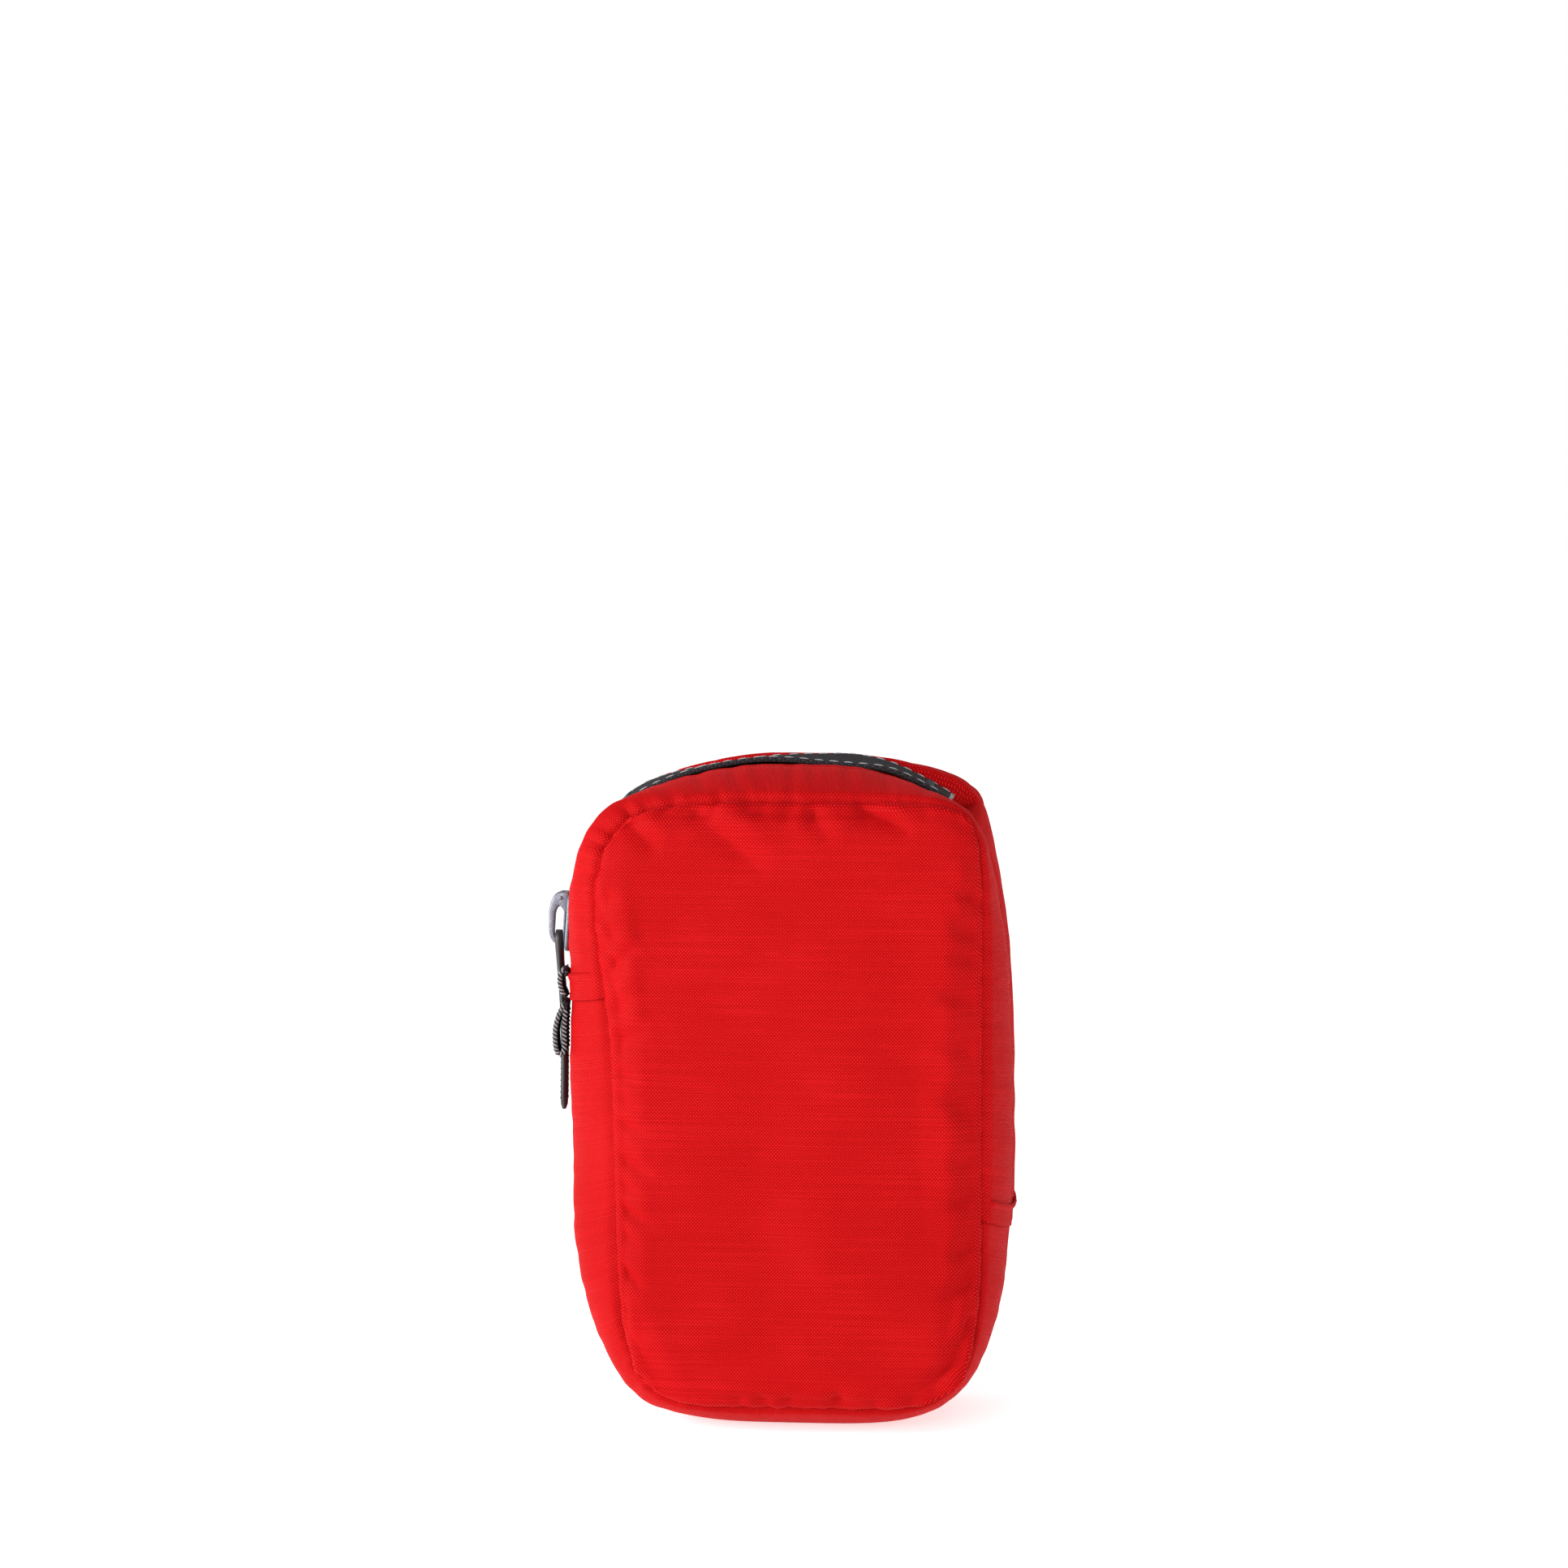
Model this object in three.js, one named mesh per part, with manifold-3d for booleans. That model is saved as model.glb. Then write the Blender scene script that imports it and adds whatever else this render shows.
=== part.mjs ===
// Soft two-half first aid pouch with its contents, as a three.js scene graph.
// Millimetres, +Z up, +X to the right of the front panel, which faces -Y.
// The origin is the centre of the flat base. The zip lies in the plane y = 0.
import * as THREE from 'three';
import Module from 'manifold-3d';
import { mergeVertices } from 'three/addons/utils/BufferGeometryUtils.js';

const wasm = await Module();
wasm.setup();

// Body outline in the zip plane, a superellipse, and how it shrinks and squares up towards each panel seam.
const HALF_WIDTH = 60;
const HALF_HEIGHT = 90.2;
const CENTRE_Z = 89;
const TOP_POWER = 4.6;
const BOTTOM_POWER = 3.8;
const SEAM_POWER = 6;
const HALF_DEPTH = 26;
const FRONT_TAPER = { width: 9.5, height: 6.5 };
const BACK_TAPER = { width: 7, height: 1.5 };
const PANEL_CROWN = 2.5;
const OUTLINE_STEPS = 52;

// Fabric layers.
const SHELL = 1.2;
const PANEL = 1;
const GAP = 0.3;
const FOAM_Y = 24.4;
const FOAM = 2;
const LINING_Y = 22.1;
const LINING = 0.6;

// Zip: half widths measured from the plane y = 0, depths below the outline.
const ZIP_MOUTH = 3;
const TAPE_DEPTH = 2.2;
const TAPE = 0.6;
const TAPE_WIDTH = 8;
const COIL_START = 0.8;
const COIL_END = 2.6;
const COIL_DEPTH = 0.6;
const COIL = 1.3;

// Fold line of the lid: it joins the two ends of the zip.
const FOLD_LEFT_Z = 117.5;
const FOLD_RIGHT_Z = 58;

// Slider and pull, measured in the slider's own frame.
const SLIDER_Z = 134.5;
const SLIDER_TILT = THREE.MathUtils.degToRad(3.6);
const SLIDER_LENGTH = 16;
const PLATE_STAND_OFF = 0.9;
const PLATE = 1.1;
const PIN_OUT = 3.9;
const PIN_UP = 6.6;
const PIN_RADIUS = 0.55;
const RING_HALF_THICKNESS = 1.1;
const RING_BOTTOM = -6.2;
const RING_WINDOW_BOTTOM = -4.2;
const STRIP_IN = 3.6;
const STRIP_OUT = 4.9;
const STRIP_HALF_WIDTH = 2.9;
const STRIP_EYE = 1.62;
const STRIP_BOTTOM_Z = 83;
const STRIP_TILT = THREE.MathUtils.degToRad(-1.6);

// Webbing tab at the zip's left end.
const TAB_Y = [-10, -3.4];
const TAB_WEB = 1.1;

// Carry handle over the rear top gusset.
const HANDLE_Y = [4, 22];
const HANDLE_WEB = 1.4;
const HANDLE_GRIP_X = 24;
const HANDLE_LEFT_X = -49;
const HANDLE_RIGHT_X = 44;

// Scissors, tweezers and the card that carries them.
const CARD_Y = [-8.5, -7.3];
const RIVET = { x: 8, z: 96, radius: 1.5 };
const BLADE = 1.4;
const GRIP_Y = [-14.4, -9.9];

const foldDirection = new THREE.Vector3(2 * HALF_WIDTH, 0, FOLD_RIGHT_Z - FOLD_LEFT_Z).normalize();
const foldNormal = new THREE.Vector3(-foldDirection.z, 0, foldDirection.x);
const foldOffset = foldNormal.dot(new THREE.Vector3(-HALF_WIDTH, 0, FOLD_LEFT_Z));

const kit = new THREE.Group();
const finishes = {};

// ---------------------------------------------------------------- materials
function finish(name, color, roughness, metalness = 0) {
  finishes[name] = new THREE.MeshStandardMaterial({ color, roughness, metalness });
}

finish('shell', 0xd8101a, 0.75);
finish('panel', 0xe0141c, 0.72);
finish('webbing', 0x3a3a40, 0.85);
finish('lining', 0x8e9096, 0.85);
finish('foam', 0xd9d9d2, 0.95);
finish('mesh', 0x2c2d31, 0.8);
finish('tape', 0x1d1d20, 0.8);
finish('coil', 0x18181a, 0.5);
finish('slider', 0x62646c, 0.4, 0.9);
finish('rubber', 0x1b1b1d, 0.6);
finish('elastic', 0x26272b, 0.85);
finish('steel', 0xb9bcc0, 0.3, 1);
finish('grip', 0xc81a20, 0.4);
finish('gauze', 0xf1efe8, 0.95);
finish('crepe', 0xd8b893, 0.95);
finish('paper', 0xe9ecee, 0.7);
finish('film', 0xc9ccd2, 0.35);
finish('foil', 0xc8a54a, 0.3, 0.9);
finish('tape_white', 0xf3f3ef, 0.8);
finish('core', 0xb98d5c, 0.9);

// ------------------------------------------------------------ mesh helpers
function add(name, geometry, material) {
  const mesh = new THREE.Mesh(geometry, finishes[material]);
  mesh.name = name;
  kit.add(mesh);
}

function signedVolume(positions, index) {
  const a = new THREE.Vector3();
  const b = new THREE.Vector3();
  const c = new THREE.Vector3();
  let volume = 0;
  for (let i = 0; i < index.length; i += 3) {
    a.fromArray(positions, index[i] * 3);
    b.fromArray(positions, index[i + 1] * 3);
    c.fromArray(positions, index[i + 2] * 3);
    volume += a.dot(b.cross(c));
  }
  return volume;
}

function closedGeometry(positions, index) {
  const faces = signedVolume(positions, index) < 0 ? [...index].reverse() : index;
  const geometry = new THREE.BufferGeometry();
  geometry.setAttribute('position', new THREE.Float32BufferAttribute(positions, 3));
  geometry.setIndex(faces);
  return geometry;
}

// Skins loops of equal length. A ring joins its last loop to its first; otherwise both ends are capped.
function loft(loops, isRing) {
  const count = loops[0].length;
  const positions = loops.flat().flatMap((p) => [p.x, p.y, p.z]);
  const index = [];
  const spans = isRing ? loops.length : loops.length - 1;
  for (let i = 0; i < spans; i += 1) {
    const next = (i + 1) % loops.length;
    for (let j = 0; j < count; j += 1) {
      const k = (j + 1) % count;
      index.push(i * count + j, next * count + j, next * count + k);
      index.push(i * count + j, next * count + k, i * count + k);
    }
  }
  if (!isRing) {
    [0, loops.length - 1].forEach((row) => {
      const centre = loops[row].reduce((sum, p) => sum.add(p), new THREE.Vector3()).divideScalar(count);
      positions.push(centre.x, centre.y, centre.z);
      const pole = positions.length / 3 - 1;
      for (let j = 0; j < count; j += 1) {
        const k = (j + 1) % count;
        const pair = row === 0 ? [j, k] : [k, j];
        index.push(pole, row * count + pair[0], row * count + pair[1]);
      }
    });
  }
  return closedGeometry(positions, index);
}

function toSolid(geometry) {
  const bare = geometry.clone();
  bare.deleteAttribute('normal');
  bare.deleteAttribute('uv');
  const merged = mergeVertices(bare, 1e-4);
  return new wasm.Manifold(new wasm.Mesh({
    numProp: 3,
    vertProperties: Float32Array.from(merged.attributes.position.array),
    triVerts: Uint32Array.from(merged.index.array),
  }));
}

function toGeometry(solid) {
  const mesh = solid.getMesh();
  const geometry = new THREE.BufferGeometry();
  geometry.setAttribute('position', new THREE.BufferAttribute(mesh.vertProperties.slice(), 3));
  geometry.setIndex(new THREE.BufferAttribute(mesh.triVerts.slice(), 1));
  return geometry;
}

function keep(geometry, ...tools) {
  return toGeometry(tools.reduce((solid, tool) => solid.intersect(toSolid(tool)), toSolid(geometry)));
}

function cut(geometry, ...tools) {
  return toGeometry(tools.reduce((solid, tool) => solid.subtract(toSolid(tool)), toSolid(geometry)));
}

function join(...geometries) {
  return toGeometry(geometries.map(toSolid).reduce((sum, solid) => sum.add(solid)));
}

// Box given by its low and high corner.
function block(low, high) {
  const size = high.map((value, i) => value - low[i]);
  const geometry = new THREE.BoxGeometry(...size);
  return geometry.translate(...low.map((value, i) => value + size[i] / 2));
}

// Half space above (side 1) or below (side -1) a plane parallel to the fold.
function foldSpace(side, distance) {
  const reach = 400;
  const geometry = new THREE.BoxGeometry(2 * reach, 2 * reach, reach);
  geometry.translate(0, 0, side * reach / 2);
  geometry.rotateY(Math.atan2(foldNormal.x, foldNormal.z));
  const shift = foldNormal.clone().multiplyScalar(foldOffset + distance);
  return geometry.translate(shift.x, shift.y, shift.z);
}

const LID_SPACE = foldSpace(1, GAP);
const CASE_SPACE = foldSpace(-1, -GAP);

// Shape drawn in x and z, given thickness between two y planes.
function plate(shape, lowY, highY, steps = 10) {
  const geometry = new THREE.ExtrudeGeometry(shape, {
    depth: highY - lowY,
    bevelEnabled: false,
    curveSegments: steps,
  });
  return geometry.rotateX(Math.PI / 2).translate(0, highY, 0);
}

// ---------------------------------------------------------- outline of the pouch
function seamShare(y) {
  return (y / HALF_DEPTH) ** 2;
}

function outlinePower(isTop, share) {
  const power = isTop ? TOP_POWER : BOTTOM_POWER;
  return power + (SEAM_POWER - power) * share;
}

function superPoint(angle, halfWidth, halfHeight, floor, share) {
  const c = Math.cos(angle);
  const s = Math.sin(angle);
  const power = 2 / outlinePower(s > 0, share);
  const x = halfWidth * Math.sign(c) * Math.abs(c) ** power;
  const z = CENTRE_Z + halfHeight * Math.sign(s) * Math.abs(s) ** power;
  return [x, Math.max(z, floor)];
}

function outlineLoop(y, depth, floor = 0, steps = OUTLINE_STEPS) {
  const taper = y < 0 ? FRONT_TAPER : BACK_TAPER;
  const share = seamShare(y);
  const halfWidth = HALF_WIDTH - taper.width * share - depth;
  const halfHeight = HALF_HEIGHT - taper.height * share - depth;
  return Array.from({ length: steps }, (_, i) => {
    const [x, z] = superPoint((i + 0.5) / steps * 2 * Math.PI, halfWidth, halfHeight, floor, share);
    return new THREE.Vector3(x, y, z);
  });
}

// Band of fabric that follows the outline between two y planes.
function band(lowY, highY, outerDepth, thickness, yStations = 5, steps = OUTLINE_STEPS) {
  const stations = Array.from({ length: yStations }, (_, i) => lowY + (highY - lowY) * i / (yStations - 1));
  const floor = Math.max(outerDepth, 0);
  const outer = stations.map((y) => outlineLoop(y, outerDepth, floor, steps));
  const inner = stations.map((y) => outlineLoop(y, outerDepth + thickness, floor + thickness, steps));
  return loft([...outer, ...inner.reverse()], true);
}

// Crowned panel of one side: side is -1 at the front and 1 at the back.
function crownedPanel(side) {
  const seam = outlineLoop(side * HALF_DEPTH, 0, 0);
  const shares = [0.3, 0.6, 0.84, 1];
  const skin = (lift) => shares.map((share) => seam.map((p) => {
    const crown = PANEL_CROWN * (1 - share ** 4);
    const z = CENTRE_Z + (p.z - CENTRE_Z) * share;
    return new THREE.Vector3(p.x * share, side * (HALF_DEPTH + crown - lift), z);
  }));
  return loft([...skin(0), ...skin(PANEL).reverse()], false);
}

function roundedPlateShape(halfWidth, halfHeight, steps = 36, share = 0.8) {
  const points = Array.from({ length: steps }, (_, i) => {
    const [x, z] = superPoint((i + 0.5) / steps * 2 * Math.PI, halfWidth, halfHeight, 0, share);
    return new THREE.Vector2(x, z);
  });
  return new THREE.Shape(points);
}

function roundedRectangle(x0, z0, x1, z1, radius) {
  const shape = new THREE.Shape();
  shape.moveTo(x0 + radius, z0);
  shape.lineTo(x1 - radius, z0);
  shape.absarc(x1 - radius, z0 + radius, radius, -Math.PI / 2, 0);
  shape.lineTo(x1, z1 - radius);
  shape.absarc(x1 - radius, z1 - radius, radius, 0, Math.PI / 2);
  shape.lineTo(x0 + radius, z1);
  shape.absarc(x0 + radius, z1 - radius, radius, Math.PI / 2, Math.PI);
  shape.lineTo(x0, z0 + radius);
  shape.absarc(x0 + radius, z0 + radius, radius, Math.PI, 1.5 * Math.PI);
  return shape;
}

// ------------------------------------------------------------- shell of the pouch
function addShell() {
  const edge = HALF_DEPTH - PANEL - GAP;
  const frontPanel = crownedPanel(-1);
  add('front_panel_upper', keep(frontPanel, LID_SPACE), 'panel');
  add('front_panel_lower', keep(frontPanel, CASE_SPACE), 'panel');
  add('back_panel', crownedPanel(1), 'panel');
  add('front_gusset', keep(band(-edge, -ZIP_MOUTH, 0, SHELL), LID_SPACE), 'shell');
  add('back_gusset', keep(band(ZIP_MOUTH, edge, 0, SHELL), LID_SPACE), 'shell');
  add('base_gusset', keep(band(-edge, edge, 0, SHELL, 8), CASE_SPACE), 'shell');
}

function addPadding() {
  const frontFoam = plate(roundedPlateShape(46, 80), -FOAM_Y, -FOAM_Y + FOAM);
  const backFoam = plate(roundedPlateShape(48, 85), FOAM_Y - FOAM, FOAM_Y);
  const frontLining = plate(roundedPlateShape(47, 81), -LINING_Y, -LINING_Y + LINING);
  const backLining = plate(roundedPlateShape(49, 86), LINING_Y - LINING, LINING_Y);
  add('front_foam_upper', keep(frontFoam, LID_SPACE), 'foam');
  add('front_foam_lower', keep(frontFoam, CASE_SPACE), 'foam');
  add('back_foam', backFoam, 'foam');
  add('front_lining_upper', keep(frontLining, LID_SPACE), 'lining');
  add('front_lining_lower', keep(frontLining, CASE_SPACE), 'lining');
  add('back_lining', backLining, 'lining');
}

// Bound seam allowance inside each panel seam.
function addBindings() {
  const frontBinding = band(-24.2, -20.6, SHELL + GAP, 0.8, 2, 40);
  const backBinding = band(20.6, 24.2, SHELL + GAP, 0.8, 2, 40);
  add('front_binding_upper', keep(frontBinding, LID_SPACE), 'elastic');
  add('front_binding_lower', keep(frontBinding, CASE_SPACE), 'elastic');
  add('back_binding', backBinding, 'elastic');
}

// ------------------------------------------------------------------------ zip
function addZip() {
  const tape = (low, high) => keep(band(low, high, TAPE_DEPTH, TAPE, 2, 44), LID_SPACE);
  const coil = (low, high) => keep(band(low, high, COIL_DEPTH, COIL, 2, 44), LID_SPACE);
  add('zip_tape_front', tape(-TAPE_WIDTH, -COIL_START), 'tape');
  add('zip_tape_back', tape(COIL_START, TAPE_WIDTH), 'tape');
  add('zip_coil_front', coil(-COIL_END, -COIL_START), 'coil');
  add('zip_coil_back', coil(COIL_START, COIL_END), 'coil');
}

// The slider's own frame: x is minus the distance out of the outline, z runs along the zip.
function placeOnZip(geometry) {
  const surface = superSurfaceX(SLIDER_Z);
  return geometry.rotateY(SLIDER_TILT).translate(-surface, 0, SLIDER_Z);
}

function superSurfaceX(z) {
  const rise = Math.abs((z - CENTRE_Z) / HALF_HEIGHT) ** TOP_POWER;
  return HALF_WIDTH * (1 - rise) ** (1 / TOP_POWER);
}

function sliderOutline(halfTop, halfBottom) {
  const half = SLIDER_LENGTH / 2;
  const shape = new THREE.Shape();
  shape.moveTo(-halfBottom + 1.5, -half);
  shape.lineTo(halfBottom - 1.5, -half);
  shape.quadraticCurveTo(halfBottom, -half, halfBottom, -half + 2);
  shape.lineTo(halfTop, half - 2);
  shape.quadraticCurveTo(halfTop, half, halfTop - 1.5, half);
  shape.lineTo(-halfTop + 1.5, half);
  shape.quadraticCurveTo(-halfTop, half, -halfTop, half - 2);
  shape.lineTo(-halfBottom, -half + 2);
  shape.quadraticCurveTo(-halfBottom, -half, -halfBottom + 1.5, -half);
  return shape;
}

// Shape drawn in y and z, given thickness between two distances out of the outline.
function sliderPlate(shape, near, far, steps = 3) {
  const geometry = new THREE.ExtrudeGeometry(shape, {
    depth: far - near,
    bevelEnabled: false,
    curveSegments: steps,
  });
  return geometry.rotateX(Math.PI / 2).rotateZ(Math.PI / 2).translate(-far, 0, 0);
}

function makeSlider() {
  const outer = sliderPlate(sliderOutline(3.9, 4.7), PLATE_STAND_OFF, PLATE_STAND_OFF + PLATE);
  const wing = keep(
    sliderPlate(sliderOutline(3.9, 4.7), -5.2, -4.2),
    block([-1, -0.4, -9], [9, 9, 9]),
  );
  const neck = block([-PLATE_STAND_OFF - 0.2, -0.4, -2.5], [4.4, 0.4, 4.5]);
  const cheekShape = new THREE.Shape();
  cheekShape.moveTo(-1.8, 2.6);
  cheekShape.lineTo(-1.8, 8);
  cheekShape.lineTo(-PIN_OUT, 8.1);
  cheekShape.absarc(-PIN_OUT, PIN_UP, 1.5, Math.PI / 2, Math.PI * 1.25);
  const cheeks = [[-2.3, -1.5], [1.5, 2.3]].map(([low, high]) => plate(cheekShape, low, high, 5));
  const pin = new THREE.CylinderGeometry(PIN_RADIUS, PIN_RADIUS, 4, 12).translate(-PIN_OUT, 0, PIN_UP);
  return placeOnZip(join(outer, wing, neck, ...cheeks, pin));
}

function makePullRing() {
  const shape = new THREE.Shape();
  shape.moveTo(-3, RING_BOTTOM);
  shape.quadraticCurveTo(-2.4, RING_BOTTOM, -2.4, -5.4);
  shape.lineTo(-2.4, PIN_UP);
  shape.absarc(-PIN_OUT, PIN_UP, 1.5, 0, Math.PI / 2);
  shape.bezierCurveTo(-6.2, 8, -7, 5.6, -7.2, 2.4);
  shape.lineTo(-7, -1.6);
  shape.bezierCurveTo(-6.9, -4.2, -6.1, -5.8, -4.8, RING_BOTTOM);
  shape.lineTo(-3, RING_BOTTOM);
  const window = new THREE.Path();
  window.moveTo(-3.15, RING_WINDOW_BOTTOM);
  window.lineTo(-3.15, 4.4);
  window.quadraticCurveTo(-5.35, 4.4, -5.35, 1.4);
  window.lineTo(-5.35, -3.6);
  window.quadraticCurveTo(-5.35, RING_WINDOW_BOTTOM, -4.8, RING_WINDOW_BOTTOM);
  window.lineTo(-3.15, RING_WINDOW_BOTTOM);
  shape.holes.push(window);
  const eye = new THREE.Path();
  eye.absarc(-PIN_OUT, PIN_UP, PIN_RADIUS + GAP, 0, 2 * Math.PI);
  shape.holes.push(eye);
  return placeOnZip(plate(shape, -RING_HALF_THICKNESS, RING_HALF_THICKNESS, 7));
}

// Flat strip threaded on the ring's lower bar, hanging straight down.
function makePullStrip() {
  const top = RING_WINDOW_BOTTOM + 1.8;
  const bottom = STRIP_BOTTOM_Z - SLIDER_Z;
  const shape = new THREE.Shape();
  shape.moveTo(-1.4, bottom);
  shape.lineTo(1.4, bottom);
  shape.lineTo(STRIP_HALF_WIDTH, bottom + 3.4);
  shape.lineTo(STRIP_HALF_WIDTH, top - 2);
  shape.quadraticCurveTo(STRIP_HALF_WIDTH, top, 0, top);
  shape.quadraticCurveTo(-STRIP_HALF_WIDTH, top, -STRIP_HALF_WIDTH, top - 2);
  shape.lineTo(-STRIP_HALF_WIDTH, bottom + 3.4);
  shape.lineTo(-1.4, bottom);
  const eye = new THREE.Path();
  eye.absarc(0, (RING_BOTTOM + RING_WINDOW_BOTTOM) / 2, STRIP_EYE, 0, 2 * Math.PI);
  shape.holes.push(eye);
  const strip = sliderPlate(shape, STRIP_IN, STRIP_OUT, 12);
  const bar = new THREE.Vector3(-(STRIP_IN + STRIP_OUT) / 2, 0, (RING_BOTTOM + RING_WINDOW_BOTTOM) / 2);
  const hung = bar.clone().applyAxisAngle(new THREE.Vector3(0, 1, 0), SLIDER_TILT);
  strip.translate(-bar.x, 0, -bar.z).rotateY(STRIP_TILT).translate(hung.x, 0, hung.z);
  return strip.translate(-superSurfaceX(SLIDER_Z), 0, SLIDER_Z);
}

function makeZipEndLoop() {
  const shape = new THREE.Shape();
  shape.moveTo(-60.5, 114.4);
  shape.bezierCurveTo(-62.4, 111.5, -64.2, 108.2, -64.1, 104.2);
  shape.bezierCurveTo(-64, 101, -63.6, 99.4, -62.3, 99.4);
  shape.bezierCurveTo(-61, 99.4, -60.5, 100.4, -60.5, 102.4);
  const hole = new THREE.Path();
  hole.moveTo(-60.5 - 0.55, 111.4);
  hole.lineTo(-60.5 - 0.7, 102.4);
  hole.bezierCurveTo(-61.3, 100.9, -61.6, 99.4 + TAB_WEB, -62.3, 99.4 + TAB_WEB);
  hole.bezierCurveTo(-62.8, 100.7, -63, 101.8, -64.1 + TAB_WEB, 104.2);
  hole.bezierCurveTo(-63, 107, -62.2, 109.2, -61.05, 111.4);
  shape.holes.push(hole);
  return plate(shape, ...TAB_Y, 6);
}

function makeZipEndCurl() {
  const shape = new THREE.Shape();
  shape.moveTo(-60.5, 115);
  shape.lineTo(-61.3, 115.6);
  shape.bezierCurveTo(-62.8, 117.4, -63, 122.6, -61.4, 123);
  shape.bezierCurveTo(-60.6, 123, -60.3, 122.2, -60.5, 121);
  return plate(shape, ...TAB_Y, 5);
}

function addZipEnd() {
  add('zip_slider', makeSlider(), 'slider');
  add('pull_ring', makePullRing(), 'slider');
  add('pull_strip', makePullStrip(), 'rubber');
  add('zip_end_loop', makeZipEndLoop(), 'webbing');
  add('zip_end_curl', makeZipEndCurl(), 'webbing');
}

// --------------------------------------------------------------- carry handle
function addHandle() {
  const strap = (lift) => band(...HANDLE_Y, -lift - HANDLE_WEB, HANDLE_WEB, 3, 96);
  const reach = (x0, x1) => block([x0, -40, 120], [x1, 40, 220]);
  add('handle_grip', keep(strap(0.8), reach(-HANDLE_GRIP_X, HANDLE_GRIP_X)), 'webbing');
  add('handle_end_left', keep(strap(GAP), reach(HANDLE_LEFT_X, -HANDLE_GRIP_X - GAP)), 'webbing');
  add('handle_end_right', keep(strap(GAP), reach(HANDLE_GRIP_X + GAP, HANDLE_RIGHT_X)), 'webbing');
}

// ------------------------------------------------------------- pockets and card
// Shallow tray of mesh whose open side faces the lining, with an open top edge.
function meshPocket(side, lowSpace, topZ) {
  const front = LINING_Y - LINING - GAP;
  const face = 15.9;
  const mesh = 0.6;
  const outerShape = roundedPlateShape(44, 76, 28, 0.4);
  const innerShape = roundedPlateShape(44 - mesh, 76 - mesh, 28, 0.4);
  const ordered = (a, b) => [Math.min(side * a, side * b), Math.max(side * a, side * b)];
  const outer = keep(plate(outerShape, ...ordered(face, front)), lowSpace, block([-90, -90, -10], [90, 90, topZ]));
  const inner = plate(innerShape, ...ordered(face + mesh, front + 5));
  return [outer, inner];
}

function addPockets() {
  const [lidOuter, lidInner] = meshPocket(-1, foldSpace(1, 4), 148);
  const lidSeat = keep(lidInner, foldSpace(1, 4.6));
  add('lid_mesh_pocket', cut(lidOuter, lidSeat), 'mesh');
  const [backOuter, backInner] = meshPocket(1, block([-90, -90, 80], [90, 90, 200]), 146);
  const backSeat = keep(backInner, block([-90, -90, 80.6], [90, 90, 200]));
  add('back_mesh_pocket', cut(backOuter, backSeat), 'mesh');
  add('organiser_card', plate(roundedRectangle(-42, 18, 42, 146, 6), ...CARD_Y, 4), 'lining');
}

// Sewn elastic bridge over a tool that lies on the card.
function elasticBridge(x0, x1, z0, z1, frontY) {
  const outer = block([x0, frontY, z0], [x1, CARD_Y[0] - GAP, z1]);
  const inner = block([x0 + 0.8, frontY + 0.8, z0 - 1], [x1 - 0.8, 0, z1 + 1]);
  return cut(outer, inner);
}

// ------------------------------------------------------------------- scissors
function bladeShape(direction) {
  const shape = new THREE.Shape();
  const { x, z } = RIVET;
  shape.moveTo(x - direction * 3.4, z + 4);
  shape.lineTo(x - direction * 2.6, z - 8);
  shape.lineTo(x - direction * 0.4, z - 42);
  shape.lineTo(x + direction * 1.4, z - 43);
  shape.quadraticCurveTo(x + direction * 4.6, z - 24, x + direction * 4.6, z - 6);
  shape.lineTo(x + direction * 3.4, z + 4);
  shape.quadraticCurveTo(x + direction * 2, z + 14, x - direction * 6.6, z + 19);
  shape.lineTo(x - direction * 9.8, z + 16.4);
  shape.quadraticCurveTo(x - direction * 5, z + 11, x - direction * 3.4, z + 4);
  const hole = new THREE.Path();
  hole.absarc(x, z, RIVET.radius + GAP, 0, 2 * Math.PI);
  shape.holes.push(hole);
  return shape;
}

// Finger ring with a short stem that the shank enters.
function gripShape(direction) {
  const { x, z } = RIVET;
  const shape = new THREE.Shape();
  const centre = [x + direction * 11.4, z + 36];
  shape.absellipse(...centre, 9.4, 13, 0, 2 * Math.PI);
  const hole = new THREE.Path();
  hole.absellipse(...centre, 6.2, 9.6, 0, 2 * Math.PI);
  shape.holes.push(hole);
  return shape;
}

function makeGrip(direction, bladeY) {
  const { x, z } = RIVET;
  const ring = plate(gripShape(direction), ...GRIP_Y, 14);
  const stem = plate(roundedRectangle(-3.2, -5.6, 3.2, 5.6, 2), ...GRIP_Y, 3);
  stem.rotateY(direction * THREE.MathUtils.degToRad(26)).translate(x + direction * 8, 0, z + 21.2);
  const socket = plate(bladeShape(-direction), bladeY - GAP, bladeY + BLADE + GAP, 8);
  const halo = socket.clone().translate(0, 0, GAP);
  return cut(join(ring, stem), socket, halo, socket.clone().translate(-direction * GAP, 0, 0));
}

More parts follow.
